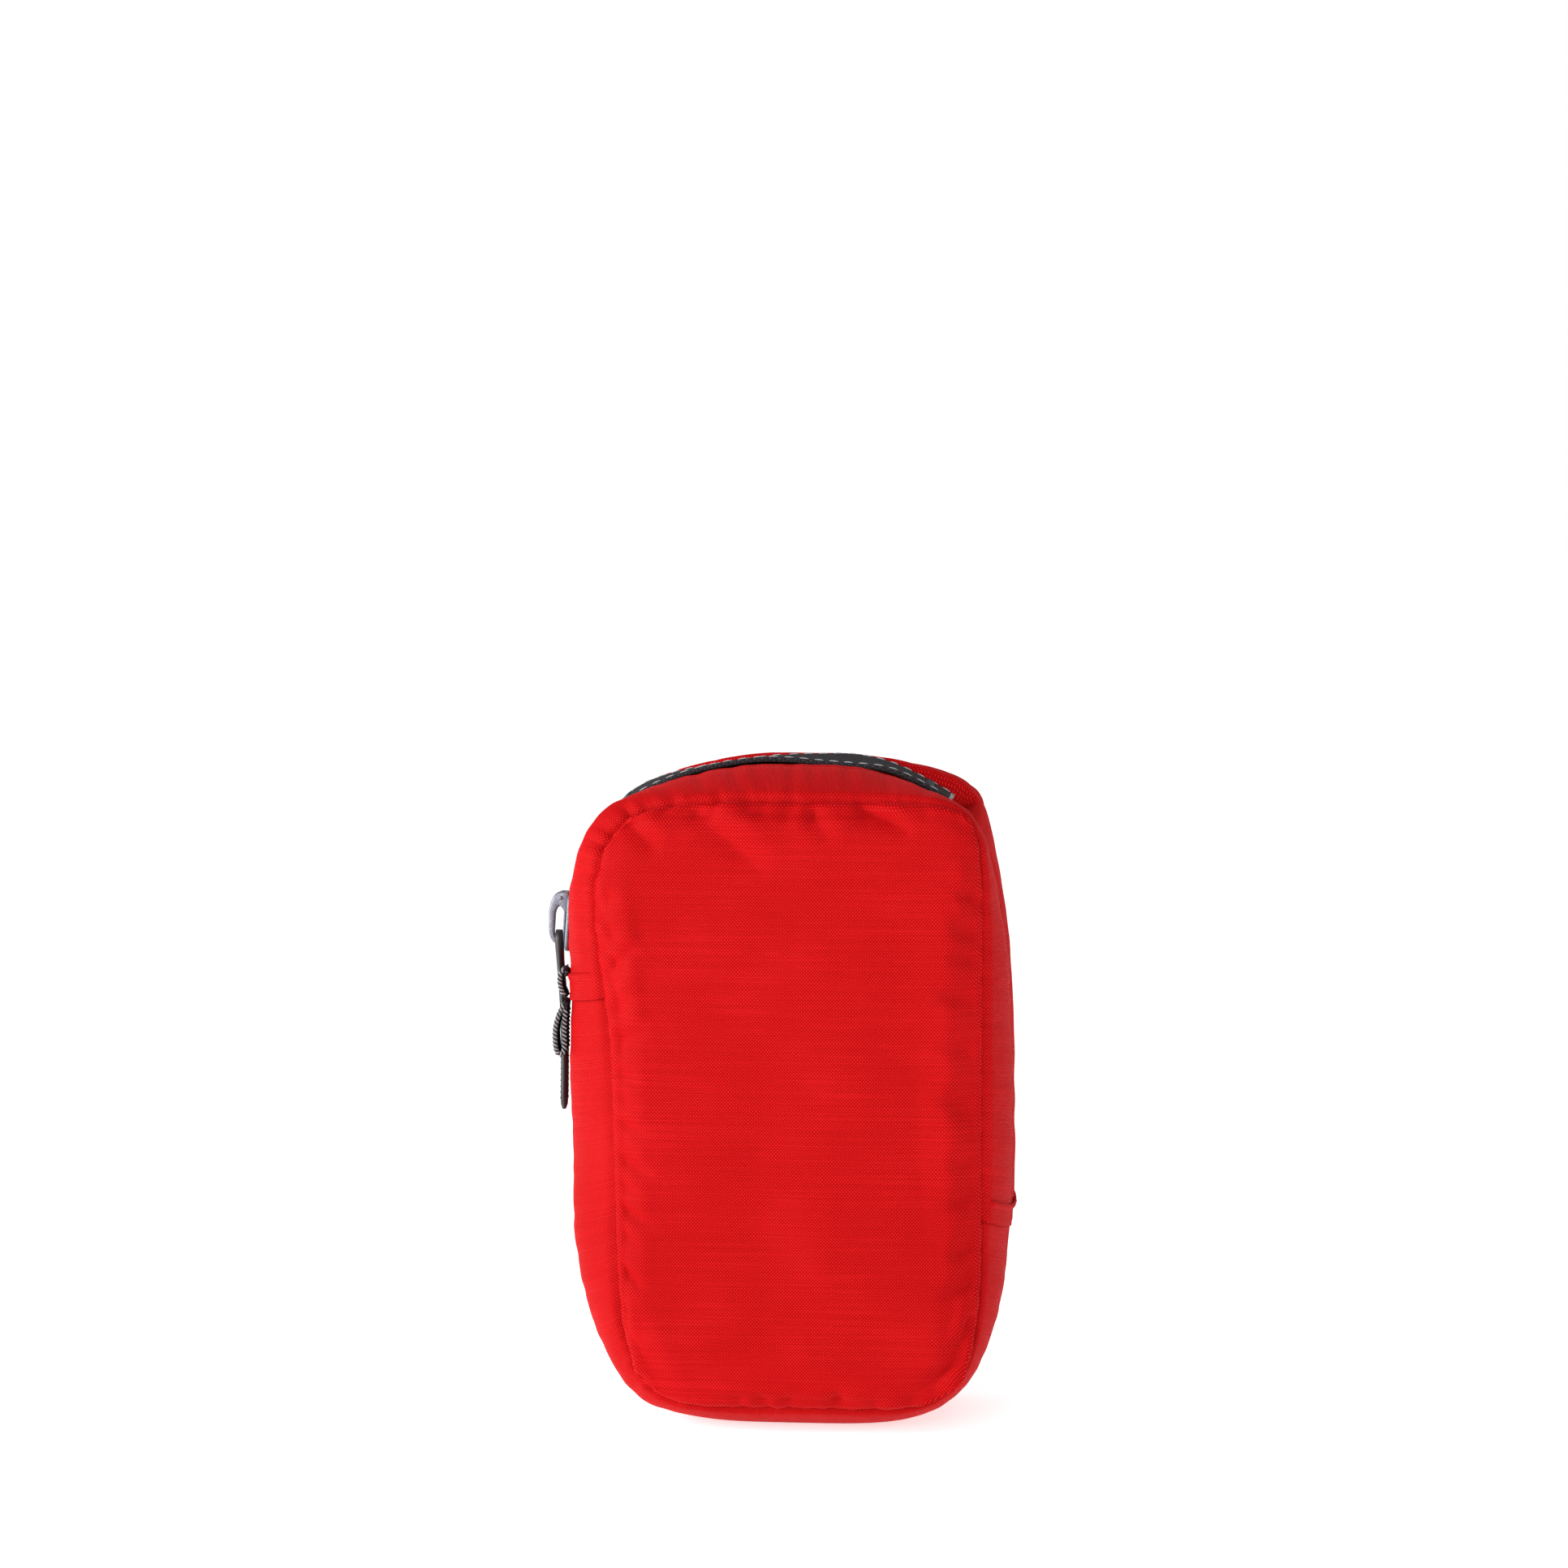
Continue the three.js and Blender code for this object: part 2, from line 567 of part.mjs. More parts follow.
function addScissors() {
  const fixedY = -12.0;
  const movingY = -13.7;
  const { x, z, radius } = RIVET;
  add('scissors_blade_fixed', plate(bladeShape(-1), fixedY, fixedY + BLADE, 8), 'steel');
  add('scissors_blade_moving', plate(bladeShape(1), movingY, movingY + BLADE, 8), 'steel');
  add('scissors_grip_fixed', makeGrip(1, fixedY), 'grip');
  add('scissors_grip_moving', makeGrip(-1, movingY), 'grip');
  const head = 2.8;
  const profile = [
    [0, -14.9], [head, -14.6], [head, -14], [radius, -14], [radius, -10.2],
    [head - 0.4, -10.2], [head - 0.4, -9.6], [0, -9.6],
  ].map(([r, y]) => new THREE.Vector2(r, y));
  add('scissors_rivet', new THREE.LatheGeometry(profile, 20).translate(x, 0, z), 'steel');
  add('scissors_loop', elasticBridge(x + 1.1, x + 15.1, z + 18.6, z + 22, GRIP_Y[0] - 1.1), 'elastic');
}

function tweezerArm(direction, y) {
  const root = { x: 37, z: 92 };
  const shape = new THREE.Shape();
  shape.moveTo(root.x + direction * 0.3, root.z);
  shape.lineTo(root.x + direction * 1.3, root.z);
  shape.quadraticCurveTo(root.x + direction * 7.4, root.z + 34, root.x + direction * 3.6, root.z + 62);
  shape.lineTo(root.x + direction * 2.8, root.z + 62);
  shape.quadraticCurveTo(root.x + direction * 6.2, root.z + 34, root.x + direction * 0.3, root.z + 6);
  return plate(shape, ...y, 8);
}

function addTweezers() {
  const y = [-14, -10.4];
  add('tweezers_arm_fixed', tweezerArm(1, y), 'steel');
  add('tweezers_arm_moving', tweezerArm(-1, y), 'steel');
  add('tweezers_loop', elasticBridge(37.6, 45, 112, 118, -15.4), 'elastic');
}

// ------------------------------------------------------------------- contents
// Soft packet: rounded outline in x and z with a rounded edge all round.
function packet(low, high, edge = 1.2) {
  const shape = roundedRectangle(low[0] + edge, low[2] + edge, high[0] - edge, high[2] - edge, 3);
  const geometry = new THREE.ExtrudeGeometry(shape, {
    depth: high[1] - low[1] - 2 * edge,
    bevelThickness: edge,
    bevelSize: edge,
    bevelSegments: 2,
    curveSegments: 3,
  });
  return geometry.rotateX(Math.PI / 2).translate(0, high[1] - edge, 0);
}

function standingRoll(x, y, z0, z1, radius) {
  const rim = 1.2;
  const profile = [[0, z0], [radius - rim, z0], [radius, z0 + rim], [radius, z1 - rim], [radius - rim, z1], [0, z1]];
  const points = profile.map(([r, z]) => new THREE.Vector2(r, z));
  return new THREE.LatheGeometry(points, 24).rotateX(Math.PI / 2).translate(x, y, 0);
}

function standingBand(x, y, z0, z1, inner, outer) {
  const profile = [[inner, z0], [outer, z0], [outer, z1], [inner, z1], [inner, z0]];
  const points = profile.map(([r, z]) => new THREE.Vector2(r, z));
  return new THREE.LatheGeometry(points, 24).rotateX(Math.PI / 2).translate(x, y, 0);
}

function lyingRing(x, z, lowY, highY, inner, outer) {
  const profile = [[inner, lowY], [outer, lowY], [outer, highY], [inner, highY], [inner, lowY]];
  const points = profile.map(([r, y]) => new THREE.Vector2(r, y));
  return new THREE.LatheGeometry(points, 28).translate(x, 0, z);
}

function addRolls() {
  const rollY = 7.2;
  const radius = 12.4;
  add('gauze_roll', standingRoll(-34, rollY, 14, 72, radius), 'gauze');
  add('elastic_bandage', standingRoll(-6, rollY, 12, 72, radius), 'crepe');
  add('gauze_roll_band', standingBand(-34, rollY, 38, 50, radius + GAP, radius + 1), 'elastic');
  add('bandage_band', standingBand(-6, rollY, 38, 50, radius + GAP, radius + 1), 'elastic');
  add('tape_core', lyingRing(29, 33, -4.6, 19.6, 11.4, 12.8), 'core');
  add('tape_roll', lyingRing(29, 33, -5, 20, 12.8 + GAP, 19.5), 'tape_white');
}

function addFlatPacks() {
  add('rescue_blanket', packet([-36, -6.2, 84], [26, 2.4, 142]), 'foil');
  add('triangular_bandage', packet([-38, 3.2, 82], [32, 13.6, 140], 1.6), 'film');
  add('gloves_packet', packet([-38, 17, 84], [-10, 20.8, 138]), 'film');
  add('compress_large', packet([6, 17, 84], [38, 20.8, 140]), 'paper');
  add('compress_small', packet([8, -6, 57], [40, 12, 77], 1.6), 'paper');
  add('plaster_packet', packet([-10, -20.8, 98], [25, -16.8, 138]), 'paper');
  add('wipe_packet', packet([2, -20.8, 142], [34, -16.8, 158]), 'paper');
  add('burn_gel_sachet', packet([-36, -20.8, 112], [-16, -16.8, 146]), 'film');
}

addShell();
addPadding();
addBindings();
addZip();
addZipEnd();
addHandle();
addPockets();
addScissors();
addTweezers();
addRolls();
addFlatPacks();

export default kit;
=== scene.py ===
"""Soft red first aid pouch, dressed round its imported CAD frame. Metres, +Z up, front panel towards -Y."""

import math

import bpy
import numpy as np
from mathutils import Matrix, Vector


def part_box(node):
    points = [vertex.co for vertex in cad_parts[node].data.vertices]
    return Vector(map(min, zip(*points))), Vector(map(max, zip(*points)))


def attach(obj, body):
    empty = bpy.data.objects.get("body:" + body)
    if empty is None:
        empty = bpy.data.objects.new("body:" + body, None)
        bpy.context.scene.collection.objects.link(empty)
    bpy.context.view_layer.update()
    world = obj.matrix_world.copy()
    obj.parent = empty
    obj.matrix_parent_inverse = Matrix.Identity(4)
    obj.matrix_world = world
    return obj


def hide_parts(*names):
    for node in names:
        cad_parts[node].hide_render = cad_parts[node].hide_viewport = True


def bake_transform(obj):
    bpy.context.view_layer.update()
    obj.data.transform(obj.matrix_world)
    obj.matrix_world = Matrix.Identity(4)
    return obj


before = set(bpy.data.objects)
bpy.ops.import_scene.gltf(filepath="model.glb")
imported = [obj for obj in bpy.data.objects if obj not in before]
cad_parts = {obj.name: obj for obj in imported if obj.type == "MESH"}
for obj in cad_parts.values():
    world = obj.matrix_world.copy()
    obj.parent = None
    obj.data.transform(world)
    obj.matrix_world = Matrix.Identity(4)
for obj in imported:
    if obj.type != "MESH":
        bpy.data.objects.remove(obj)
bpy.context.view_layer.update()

MM = 0.001
RNG = np.random.default_rng(7)

# Outline of the pouch, as in the CAD model.
HALF_WIDTH = 60 * MM
HALF_HEIGHT = 90.2 * MM
CENTRE_Z = 89 * MM
HALF_DEPTH = 26 * MM
TAPER = {-1: (9.5 * MM, 8.5 * MM), 1: (7 * MM, 0.9 * MM)}
TOP_DIP = 1.9 * MM
ZIP_POWER = {"top_right": 3.9, "top_left": 4.4, "low_right": 3.8, "low_left": 3.3}
SEAM_POWER = {"top_right": 9.0, "top_left": 6.2, "low_right": 5.4, "low_left": 5.4}
BACK_POWER = {"top_right": 8.5, "top_left": 5.4, "low_right": 5.0, "low_left": 4.2}
FRONT_SHIFT = 2.2 * MM
FLAP_EDGE = 0.9 * MM
SHARP_GROOVE = 2.2 * MM
STITCHED_FLAP = 6.5 * MM
LEFT_HEM_ROWS = 4
RIGHT_HEM_ROWS = 4
HANDLE_WIDTH = 18 * MM
HANDLE_Y = 13 * MM

# Fold of the lid, which joins the two ends of the zip.
FOLD_LEFT_Z = 117.5 * MM
FOLD_RIGHT_Z = 58 * MM

# Grid of the two panels; the gussets share its border points.
CELLS_X = 116
CELLS_Z = 188
BORDER = 2 * (CELLS_X + CELLS_Z)
GUSSET_ROWS = 34
CLOTH = 0.8 * MM


# ------------------------------------------------------------------ mesh helpers
def link(name, mesh):
    obj = bpy.data.objects.new(name, mesh)
    bpy.context.scene.collection.objects.link(obj)
    return obj


def dress(obj, node, body):
    """Hides the CAD node that a piece stands for and puts the piece on the body it rides on."""
    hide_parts(node)
    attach(obj, body)


def mesh_object(name, points, faces, material, uv=None, smooth=True):
    """A mesh from an (n, 3) array of points and a list of faces, with an optional (n, 2) weave map."""
    mesh = bpy.data.meshes.new(name)
    mesh.from_pydata(np.asarray(points, float).tolist(), [], [list(map(int, f)) for f in faces])
    if uv is not None:
        layer = mesh.uv_layers.new(name="weave")
        corner = np.zeros(len(mesh.loops), int)
        mesh.loops.foreach_get("vertex_index", corner)
        layer.data.foreach_set("uv", np.asarray(uv, np.float32)[corner].ravel())
    mesh.materials.append(material)
    mesh.polygons.foreach_set("use_smooth", [smooth] * len(mesh.polygons))
    mesh.update()
    return link(name, mesh)


def grid_faces(rows, columns, wrap=False, flip=False):
    span = rows if wrap else rows - 1
    i, j = np.meshgrid(np.arange(span), np.arange(columns - 1), indexing="ij")
    k = (i + 1) % rows
    quads = np.stack([i * columns + j, k * columns + j, k * columns + j + 1, i * columns + j + 1], -1)
    quads = quads.reshape(-1, 4)
    return quads[:, ::-1] if flip else quads


def apply_modifiers(obj):
    graph = bpy.context.evaluated_depsgraph_get()
    mesh = bpy.data.meshes.new_from_object(obj.evaluated_get(graph))
    old = obj.data
    obj.modifiers.clear()
    obj.data = mesh
    bpy.data.meshes.remove(old)
    return obj


def add_modifier(obj, kind, **settings):
    modifier = obj.modifiers.new(kind.lower(), kind)
    for key, value in settings.items():
        setattr(modifier, key, value)
    return modifier


def cloth_object(name, grid, uv, material, flip=False, thickness=CLOTH, wrap=False):
    """A sheet of cloth from a (rows, columns, 3) grid, given its thickness inwards."""
    rows, columns = grid.shape[:2]
    faces = grid_faces(rows, columns, wrap, flip)
    obj = mesh_object(name, grid.reshape(-1, 3), faces, material, uv.reshape(-1, 2))
    add_modifier(obj, "SOLIDIFY", thickness=thickness, offset=-1, use_rim=True)
    return apply_modifiers(obj)


def smoothstep(value, low, high):
    t = np.clip((value - low) / (high - low), 0, 1)
    return t * t * (3 - 2 * t)


def bell(value, centre, width):
    return np.exp(-((value - centre) / width) ** 2)


def wave_noise(position, wavelength, count=7):
    """Smooth, seeded noise along one number, between about -1 and 1."""
    total = np.zeros_like(position)
    for _ in range(count):
        length = wavelength * RNG.uniform(0.6, 1.8)
        total = total + np.sin(2 * math.pi * (position / length + RNG.uniform()))
    return total / math.sqrt(count)


def grid_normals(grid, wrap=False):
    """Unit normals of a grid: along its rows crossed with along its columns."""
    if wrap:
        along = np.roll(grid, -1, 0) - np.roll(grid, 1, 0)
    else:
        along = np.gradient(grid, axis=0)
    across = np.gradient(grid, axis=1)
    normal = np.cross(along, across)
    return normal / np.maximum(np.linalg.norm(normal, axis=-1, keepdims=True), 1e-12)


def arc_length(path):
    steps = np.linalg.norm(np.diff(path, axis=0), axis=1)
    return np.concatenate([[0], np.cumsum(steps)])


def resample(path, positions):
    length = arc_length(path)
    return np.stack([np.interp(positions, length, path[:, k]) for k in range(path.shape[1])], -1)


# ------------------------------------------------------------- outline and surfaces
def by_corner(powers, c, s):
    """Blends a value for each corner smoothly round the outline."""
    right = 0.5 + 0.5 * np.clip(c * 4, -1, 1)
    top = 0.5 + 0.5 * np.clip(s * 4, -1, 1)
    upper = powers["top_right"] * right + powers["top_left"] * (1 - right)
    lower = powers["low_right"] * right + powers["low_left"] * (1 - right)
    return upper * top + lower * (1 - top)


def outline(y, side, depth=0.0, count=BORDER):
    """Points of the pouch's outline at one depth, evenly spaced from the base's middle to the right."""
    share = (y / HALF_DEPTH) ** 2
    taper = TAPER[side]
    phi = np.linspace(-math.pi / 2, 1.5 * math.pi, 6001)
    c, s = np.cos(phi), np.sin(phi)
    power = by_corner(ZIP_POWER, c, s)
    seam = by_corner(SEAM_POWER if side < 0 else BACK_POWER, c, s)
    power = power + (seam - power) * share
    half_width = HALF_WIDTH - taper[0] * share - depth
    half_height = HALF_HEIGHT - taper[1] * share - depth
    radius = (np.abs(c / half_width) ** power + np.abs(s / half_height) ** power) ** (-1 / power)
    x = radius * c
    z = CENTRE_Z + radius * s
    if side < 0:
        x = x + FRONT_SHIFT * share
        lean = smoothstep(z, 150 * MM, 60 * MM) * (x < 0) * np.clip(-x / half_width, 0, 1)
        x = x + 3 * MM * lean * share
        upper = smoothstep(z, 100 * MM, 158 * MM) * np.clip(-x / half_width, 0, 1) ** 2
        x = x - 6.0 * MM * upper * share
    narrow = (1.0 + 2.6 * smoothstep(z, 95 * MM, 160 * MM)) * MM * np.clip(x / HALF_WIDTH, 0, 1)
    x = x - narrow * (1 - share if side < 0 else 1 - 0.75 * share)
    z = z - TOP_DIP * smoothstep(z, 158 * MM, 176 * MM) * (1 - abs(y) / HALF_DEPTH)
    slope = smoothstep(-x, 6 * MM, 40 * MM) * smoothstep(z, 120 * MM, 165 * MM)
    z = z - 3.8 * MM * slope * (1 - 0.75 * share if side < 0 else 1)
    slope = smoothstep(x, 10 * MM, 44 * MM) * smoothstep(z, 120 * MM, 165 * MM)
    z = z - 3.7 * MM * slope * (1 - share if side < 0 else 1)
    z = np.maximum(z, max(depth, 0) + 0.2 * MM)
    path = np.stack([x, z], -1)
    length = arc_length(path)
    even = resample(path, np.arange(count) / count * length[-1])
    return even


def radial(points):
    """Outward direction in the x-z plane along a closed outline."""
    along = np.roll(points, -1, 0) - np.roll(points, 1, 0)
    out = np.stack([along[:, 1], -along[:, 0]], -1)
    return out / np.linalg.norm(out, axis=-1, keepdims=True)


def seam_groove(side, points):
    """Depth of the seam's groove at each border point, deeper at the rolled corner on the front."""
    x, z = points[:, 0], points[:, 1]
    depth = np.full(len(points), 2.1 * MM)
    if side < 0:
        corner = np.exp(-(((x + 46 * MM) / (16 * MM)) ** 2 + ((z - 166 * MM) / (15 * MM)) ** 2))
        upper_left = bell(z, 140 * MM, 26 * MM) * (x < -30 * MM)
        low_left = np.exp(-(((x + 44 * MM) / (9 * MM)) ** 2 + ((z - 20 * MM) / (12 * MM)) ** 2))
        depth = depth + (3.4 * corner + 0.7 * upper_left + 1.6 * low_left) * MM
        depth = depth - 1.1 * MM * bell(z, 80 * MM, 40 * MM) * (x < -30 * MM)
    ripple = wave_noise(np.arange(len(points)) / len(points) * 0.55, 7.5 * MM)
    return depth * (1 + 0.12 * ripple)


def seam_curve(side):
    """The seam's border points in three dimensions, its groove and the way it dips."""
    points = outline(side * HALF_DEPTH, side)
    groove = seam_groove(side, points)
    out = radial(points)
    dip = np.stack([-out[:, 0] * 0.55, np.full(len(points), -side * 0.84), -out[:, 1] * 0.55], -1)
    base = np.stack([points[:, 0], np.full(len(points), side * HALF_DEPTH), points[:, 1]], -1)
    return base, groove, dip


SEAMS = {side: seam_curve(side) for side in (-1, 1)}


def end_narrowing(x):
    """How much narrower the handle is towards its right end."""
    return 4 * MM * smoothstep(x, 12 * MM, 36 * MM)


def seat_line():
    """Height of the pressed-in cloth under the carry handle, from left to right."""
    surface = outline(HANDLE_Y, 1)
    x = surface[:, 0]
    sink = 0.9 + 1.2 * smoothstep(x, -48 * MM, -30 * MM) + 0.5 * smoothstep(x, 20 * MM, 40 * MM)
    low = surface - radial(surface) * (sink * MM)[:, None]
    low = low[low[:, 1] > 120 * MM]
    return low[np.argsort(low[:, 0])].T


def gusset_grid(side):
    """Half of the gusset, from the zip's mouth (column 0) to the panel seam (last column)."""
    v = np.linspace(0, 1, GUSSET_ROWS) ** 0.9
    groove, dip = SEAMS[side][1:]
    s = np.arange(BORDER) / BORDER
    length = 0.56 * s
    ribs = wave_noise(length, 9 * MM)
    slow = wave_noise(length, 46 * MM)
    columns = []
    for value in v:
        y = side * (FLAP_EDGE + (HALF_DEPTH - FLAP_EDGE) * value)
        points = outline(y, side)
        out = radial(points)
        on_top = smoothstep(points[:, 1], 160 * MM, 176 * MM)
        fullness = np.where(points[:, 0] > 0, 0.5, 1.1) * (1 - 0.8 * on_top)
        puff = fullness * MM * math.sin(math.pi * value) * (0.8 + 0.35 * slow)
        rib_height = (0.12 + 0.08 * on_top) * MM * math.sin(math.pi * min(1, value * 1.1)) ** 0.5
        lift = puff + ribs * rib_height
        if side > 0:
            far = HANDLE_Y + HANDLE_WIDTH / 2 - end_narrowing(points[:, 0])
            across = smoothstep(y, 0.9 * MM, 3.9 * MM) * (1 - smoothstep(y, far + 0.2 * MM, far + 2.0 * MM))
            along = smoothstep(points[:, 0], -56 * MM,
                               -50 * MM) * (1 - smoothstep(points[:, 0], 44 * MM, 49 * MM))
            seat = across * along * (points[:, 1] > 120 * MM)
            lift = lift * (1 - 0.85 * seat)
        else:
            rolled = np.exp(-(((points[:, 0] + 50 * MM) / (13 * MM)) ** 2 + ((points[:,
                                                                                     1] - 166 * MM) / (16 * MM)) ** 2))
            lift = lift + 1.9 * MM * rolled * bell(value, 0.74, 0.26)
            tuck = bell(points[:, 1], 138 * MM, 20 * MM) * (points[:, 0] < -40 * MM)
            lift = lift - 1.2 * MM * tuck * bell(value, 0.9, 0.12)
        lift = lift - 0.4 * MM * bell(abs(y), STITCHED_FLAP, 1.0 * MM)
        track = (points[:, 0] < 0) * smoothstep(points[:, 1], 112 * MM, 120 * MM)
        track = track * (1 - smoothstep(points[:, 1], 158 * MM, 166 * MM))
        lift = lift - 0.9 * MM * track * bell(y, 0, 6 * MM)
        lift = lift * smoothstep(points[:, 1], 0.0, 9 * MM)
        x = points[:, 0] + out[:, 0] * lift
        z = points[:, 1] + out[:, 1] * lift
        if side > 0:
            z = z + (np.minimum(z, np.interp(x, *seat_line())) - z) * seat
        column = np.stack([x, np.full(BORDER, y), z], -1)
        gap = (1 - value) * HALF_DEPTH
        shoulder = math.exp(-(gap / (1.4 * MM)) ** 2)
        wide = math.exp(-(gap / (5.5 * MM)) ** 2)
        extra = np.maximum(groove - SHARP_GROOVE, 0)[:, None]
        column = column + dip * (np.minimum(groove, SHARP_GROOVE)[:, None] * shoulder + extra * wide)
        column[:, 2] = np.maximum(column[:, 2], 0.2 * MM)
        columns.append(column)
    return np.stack(columns, 1)


def border_of(grid, nx=CELLS_X):
    """Border points of a panel grid, from the base's middle round to the right, as in outline()."""
    half = nx // 2
    bottom, top = grid[:, 0], grid[:, -1]
    left, right = grid[0], grid[-1]
    ring = [bottom[half:-1], right[:-1], top[:0:-1], left[:0:-1], bottom[:half]]
    return np.concatenate(ring)


def coons_patch(ring, nx=CELLS_X, nz=CELLS_Z):
    """Grid that fills a closed ring of 2 (nx + nz) points, ordered as border_of() gives them."""
    half = nx // 2
    bottom = np.concatenate([ring[-half:], ring[:half + 1]])
    right = ring[half:half + nz + 1]
    top = ring[half + nz:half + nz + nx + 1][::-1]
    left = ring[half + nz + nx:half + 2 * nz + nx + 1][::-1]
    u = np.linspace(0, 1, nx + 1)[:, None, None]
    w = np.linspace(0, 1, nz + 1)[None, :, None]
    ruled_u = (1 - u) * left[None] + u * right[None]
    ruled_w = (1 - w) * bottom[:, None] + w * top[:, None]
    corners = (1 - u) * (1 - w) * bottom[0] + u * (1 - w) * bottom[-1] + (1 - u) * w * top[0] + u * w * top[-1]
    return ruled_u + ruled_w - corners


def border_distance():
    """Rough distance of each panel grid point from the seam, rounded off in the corners."""
    u = np.linspace(0, 1, CELLS_X + 1)[:, None]
    w = np.linspace(0, 1, CELLS_Z + 1)[None, :]
    across = np.minimum(u, 1 - u) * 2 * 51 * MM + 1e-6
    along = np.minimum(w, 1 - w) * 2 * 84 * MM + 1e-6
    return (across ** -5 + along ** -5) ** (-1 / 5)


def crease(x, z, start, end, depth, width, sharp=0.5):
    """Soft valley of the cloth along a line from start to end, fading at both ends."""
    a, b = np.array(start) * MM, np.array(end) * MM
    run = b - a
    length = np.linalg.norm(run)
    run = run / length
    t = ((x - a[0]) * run[0] + (z - a[1]) * run[1]) / length
    off = (x - a[0]) * -run[1] + (z - a[1]) * run[0]
    fade = np.clip(1 - np.abs(2 * t - 1) ** 2.5, 0, 1) * ((t > 0) & (t < 1))
    valley = np.exp(-np.abs(off / (width * MM)) ** (1 + sharp))
    ridge = 0.6 * bell(off, 1.9 * width * MM, width * MM)
    return fade * depth * MM * (ridge - valley)


FRONT_CREASES = [
    ((-27, 170), (-3, 150), 1.5, 3.4),
    ((17, 170), (34, 162), 1.6, 2.0),
    ((6, 170), (13, 158), 0.7, 2.4),
    ((51, 36), (38, 12), 1.5, 2.4),
    ((49, 24), (30, 11), 1.1, 2.8),
    ((51, 50), (41, 26), 0.9, 3.0),
    ((-42, 14), (6, 25), 1.2, 5.0),
    ((-47, 150), (-43, 108), 1.3, 2.4),
    ((-44, 166), (-32, 156), 1.6, 2.6),
    ((-42, 32), (-30, 9), 1.0, 3.2),
    ((-8, 110), (-4, 30), 0.5, 9.0),
    ((34, 120), (38, 40), 0.5, 6.0),
]
BACK_CREASES = [
    ((-48, 30), (-30, 8), 0.7, 3.4),
    ((46, 160), (34, 172), 0.6, 3.0),
    ((-20, 174), (-6, 158), 0.5, 3.6),
    ((48, 36), (38, 12), 0.6, 3.2),
    ((-50, 120), (-44, 96), 0.4, 3.0),
]


def panel_grid(side):
    """A crowned panel whose border is the gusset's seam, with the large soft creases."""
    base, groove, dip = SEAMS[side]
    grid = coons_patch(base)
    distance = border_distance()
    x, z = grid[..., 0], grid[..., 2]
    u = np.linspace(-1, 1, CELLS_X + 1)[:, None]
    w = np.linspace(-1, 1, CELLS_Z + 1)[None, :]
    edge_roll = 1 - np.exp(-distance / (3.2 * MM))
    crown = 1.1 * MM * edge_roll + 1.5 * MM * (1 - u ** 2) * (1 - w ** 4)
    for start, end, depth, width in FRONT_CREASES if side < 0 else BACK_CREASES:
        crown = crown + crease(x, z, start, end, depth, width) * smoothstep(distance, 0, 3 * MM)
    ring = coons_patch(np.stack([groove, dip[:, 0], dip[:, 2]], -1))
    shoulder = np.exp(-(distance / (1.4 * MM)) ** 2)
    wide = np.exp(-(distance / (6 * MM)) ** 2)
    depth = np.minimum(ring[..., 0], SHARP_GROOVE) * shoulder + np.maximum(ring[..., 0] - SHARP_GROOVE,
                                                                           0) * wide
    grid = grid.copy()
    grid[..., 0] += ring[..., 1] * depth
    grid[..., 1] += side * crown - side * 0.84 * depth
    grid[..., 2] += ring[..., 2] * depth
    return grid, distance


# --------------------------------------------------------------- cloth simulation
SIM_SCALE = 20.0
SIM_STEP = 4


def upsample(field, rows, columns):
    """Smooth interpolation of a coarse (r, c, 3) field to a finer grid, by cosine-free cubic rows and columns."""
    def along(values, count):
        n = len(values)
        t = np.linspace(0, n - 1, count)
        i = np.clip(t.astype(int), 0, n - 2)
        f = (t - i).reshape((-1,) + (1,) * (values.ndim - 1))
        p0, p1 = values[np.maximum(i - 1, 0)], values[i]
        p2, p3 = values[i + 1], values[np.minimum(i + 2, n - 1)]
        linear = (p2 - p0) * f
        square = (2 * p0 - 5 * p1 + 4 * p2 - p3) * f ** 2
        cube = (3 * p1 - 3 * p2 + p3 - p0) * f ** 3
        return p1 + 0.5 * (linear + square + cube)
    return along(along(field, rows).swapaxes(0, 1), columns).swapaxes(0, 1)


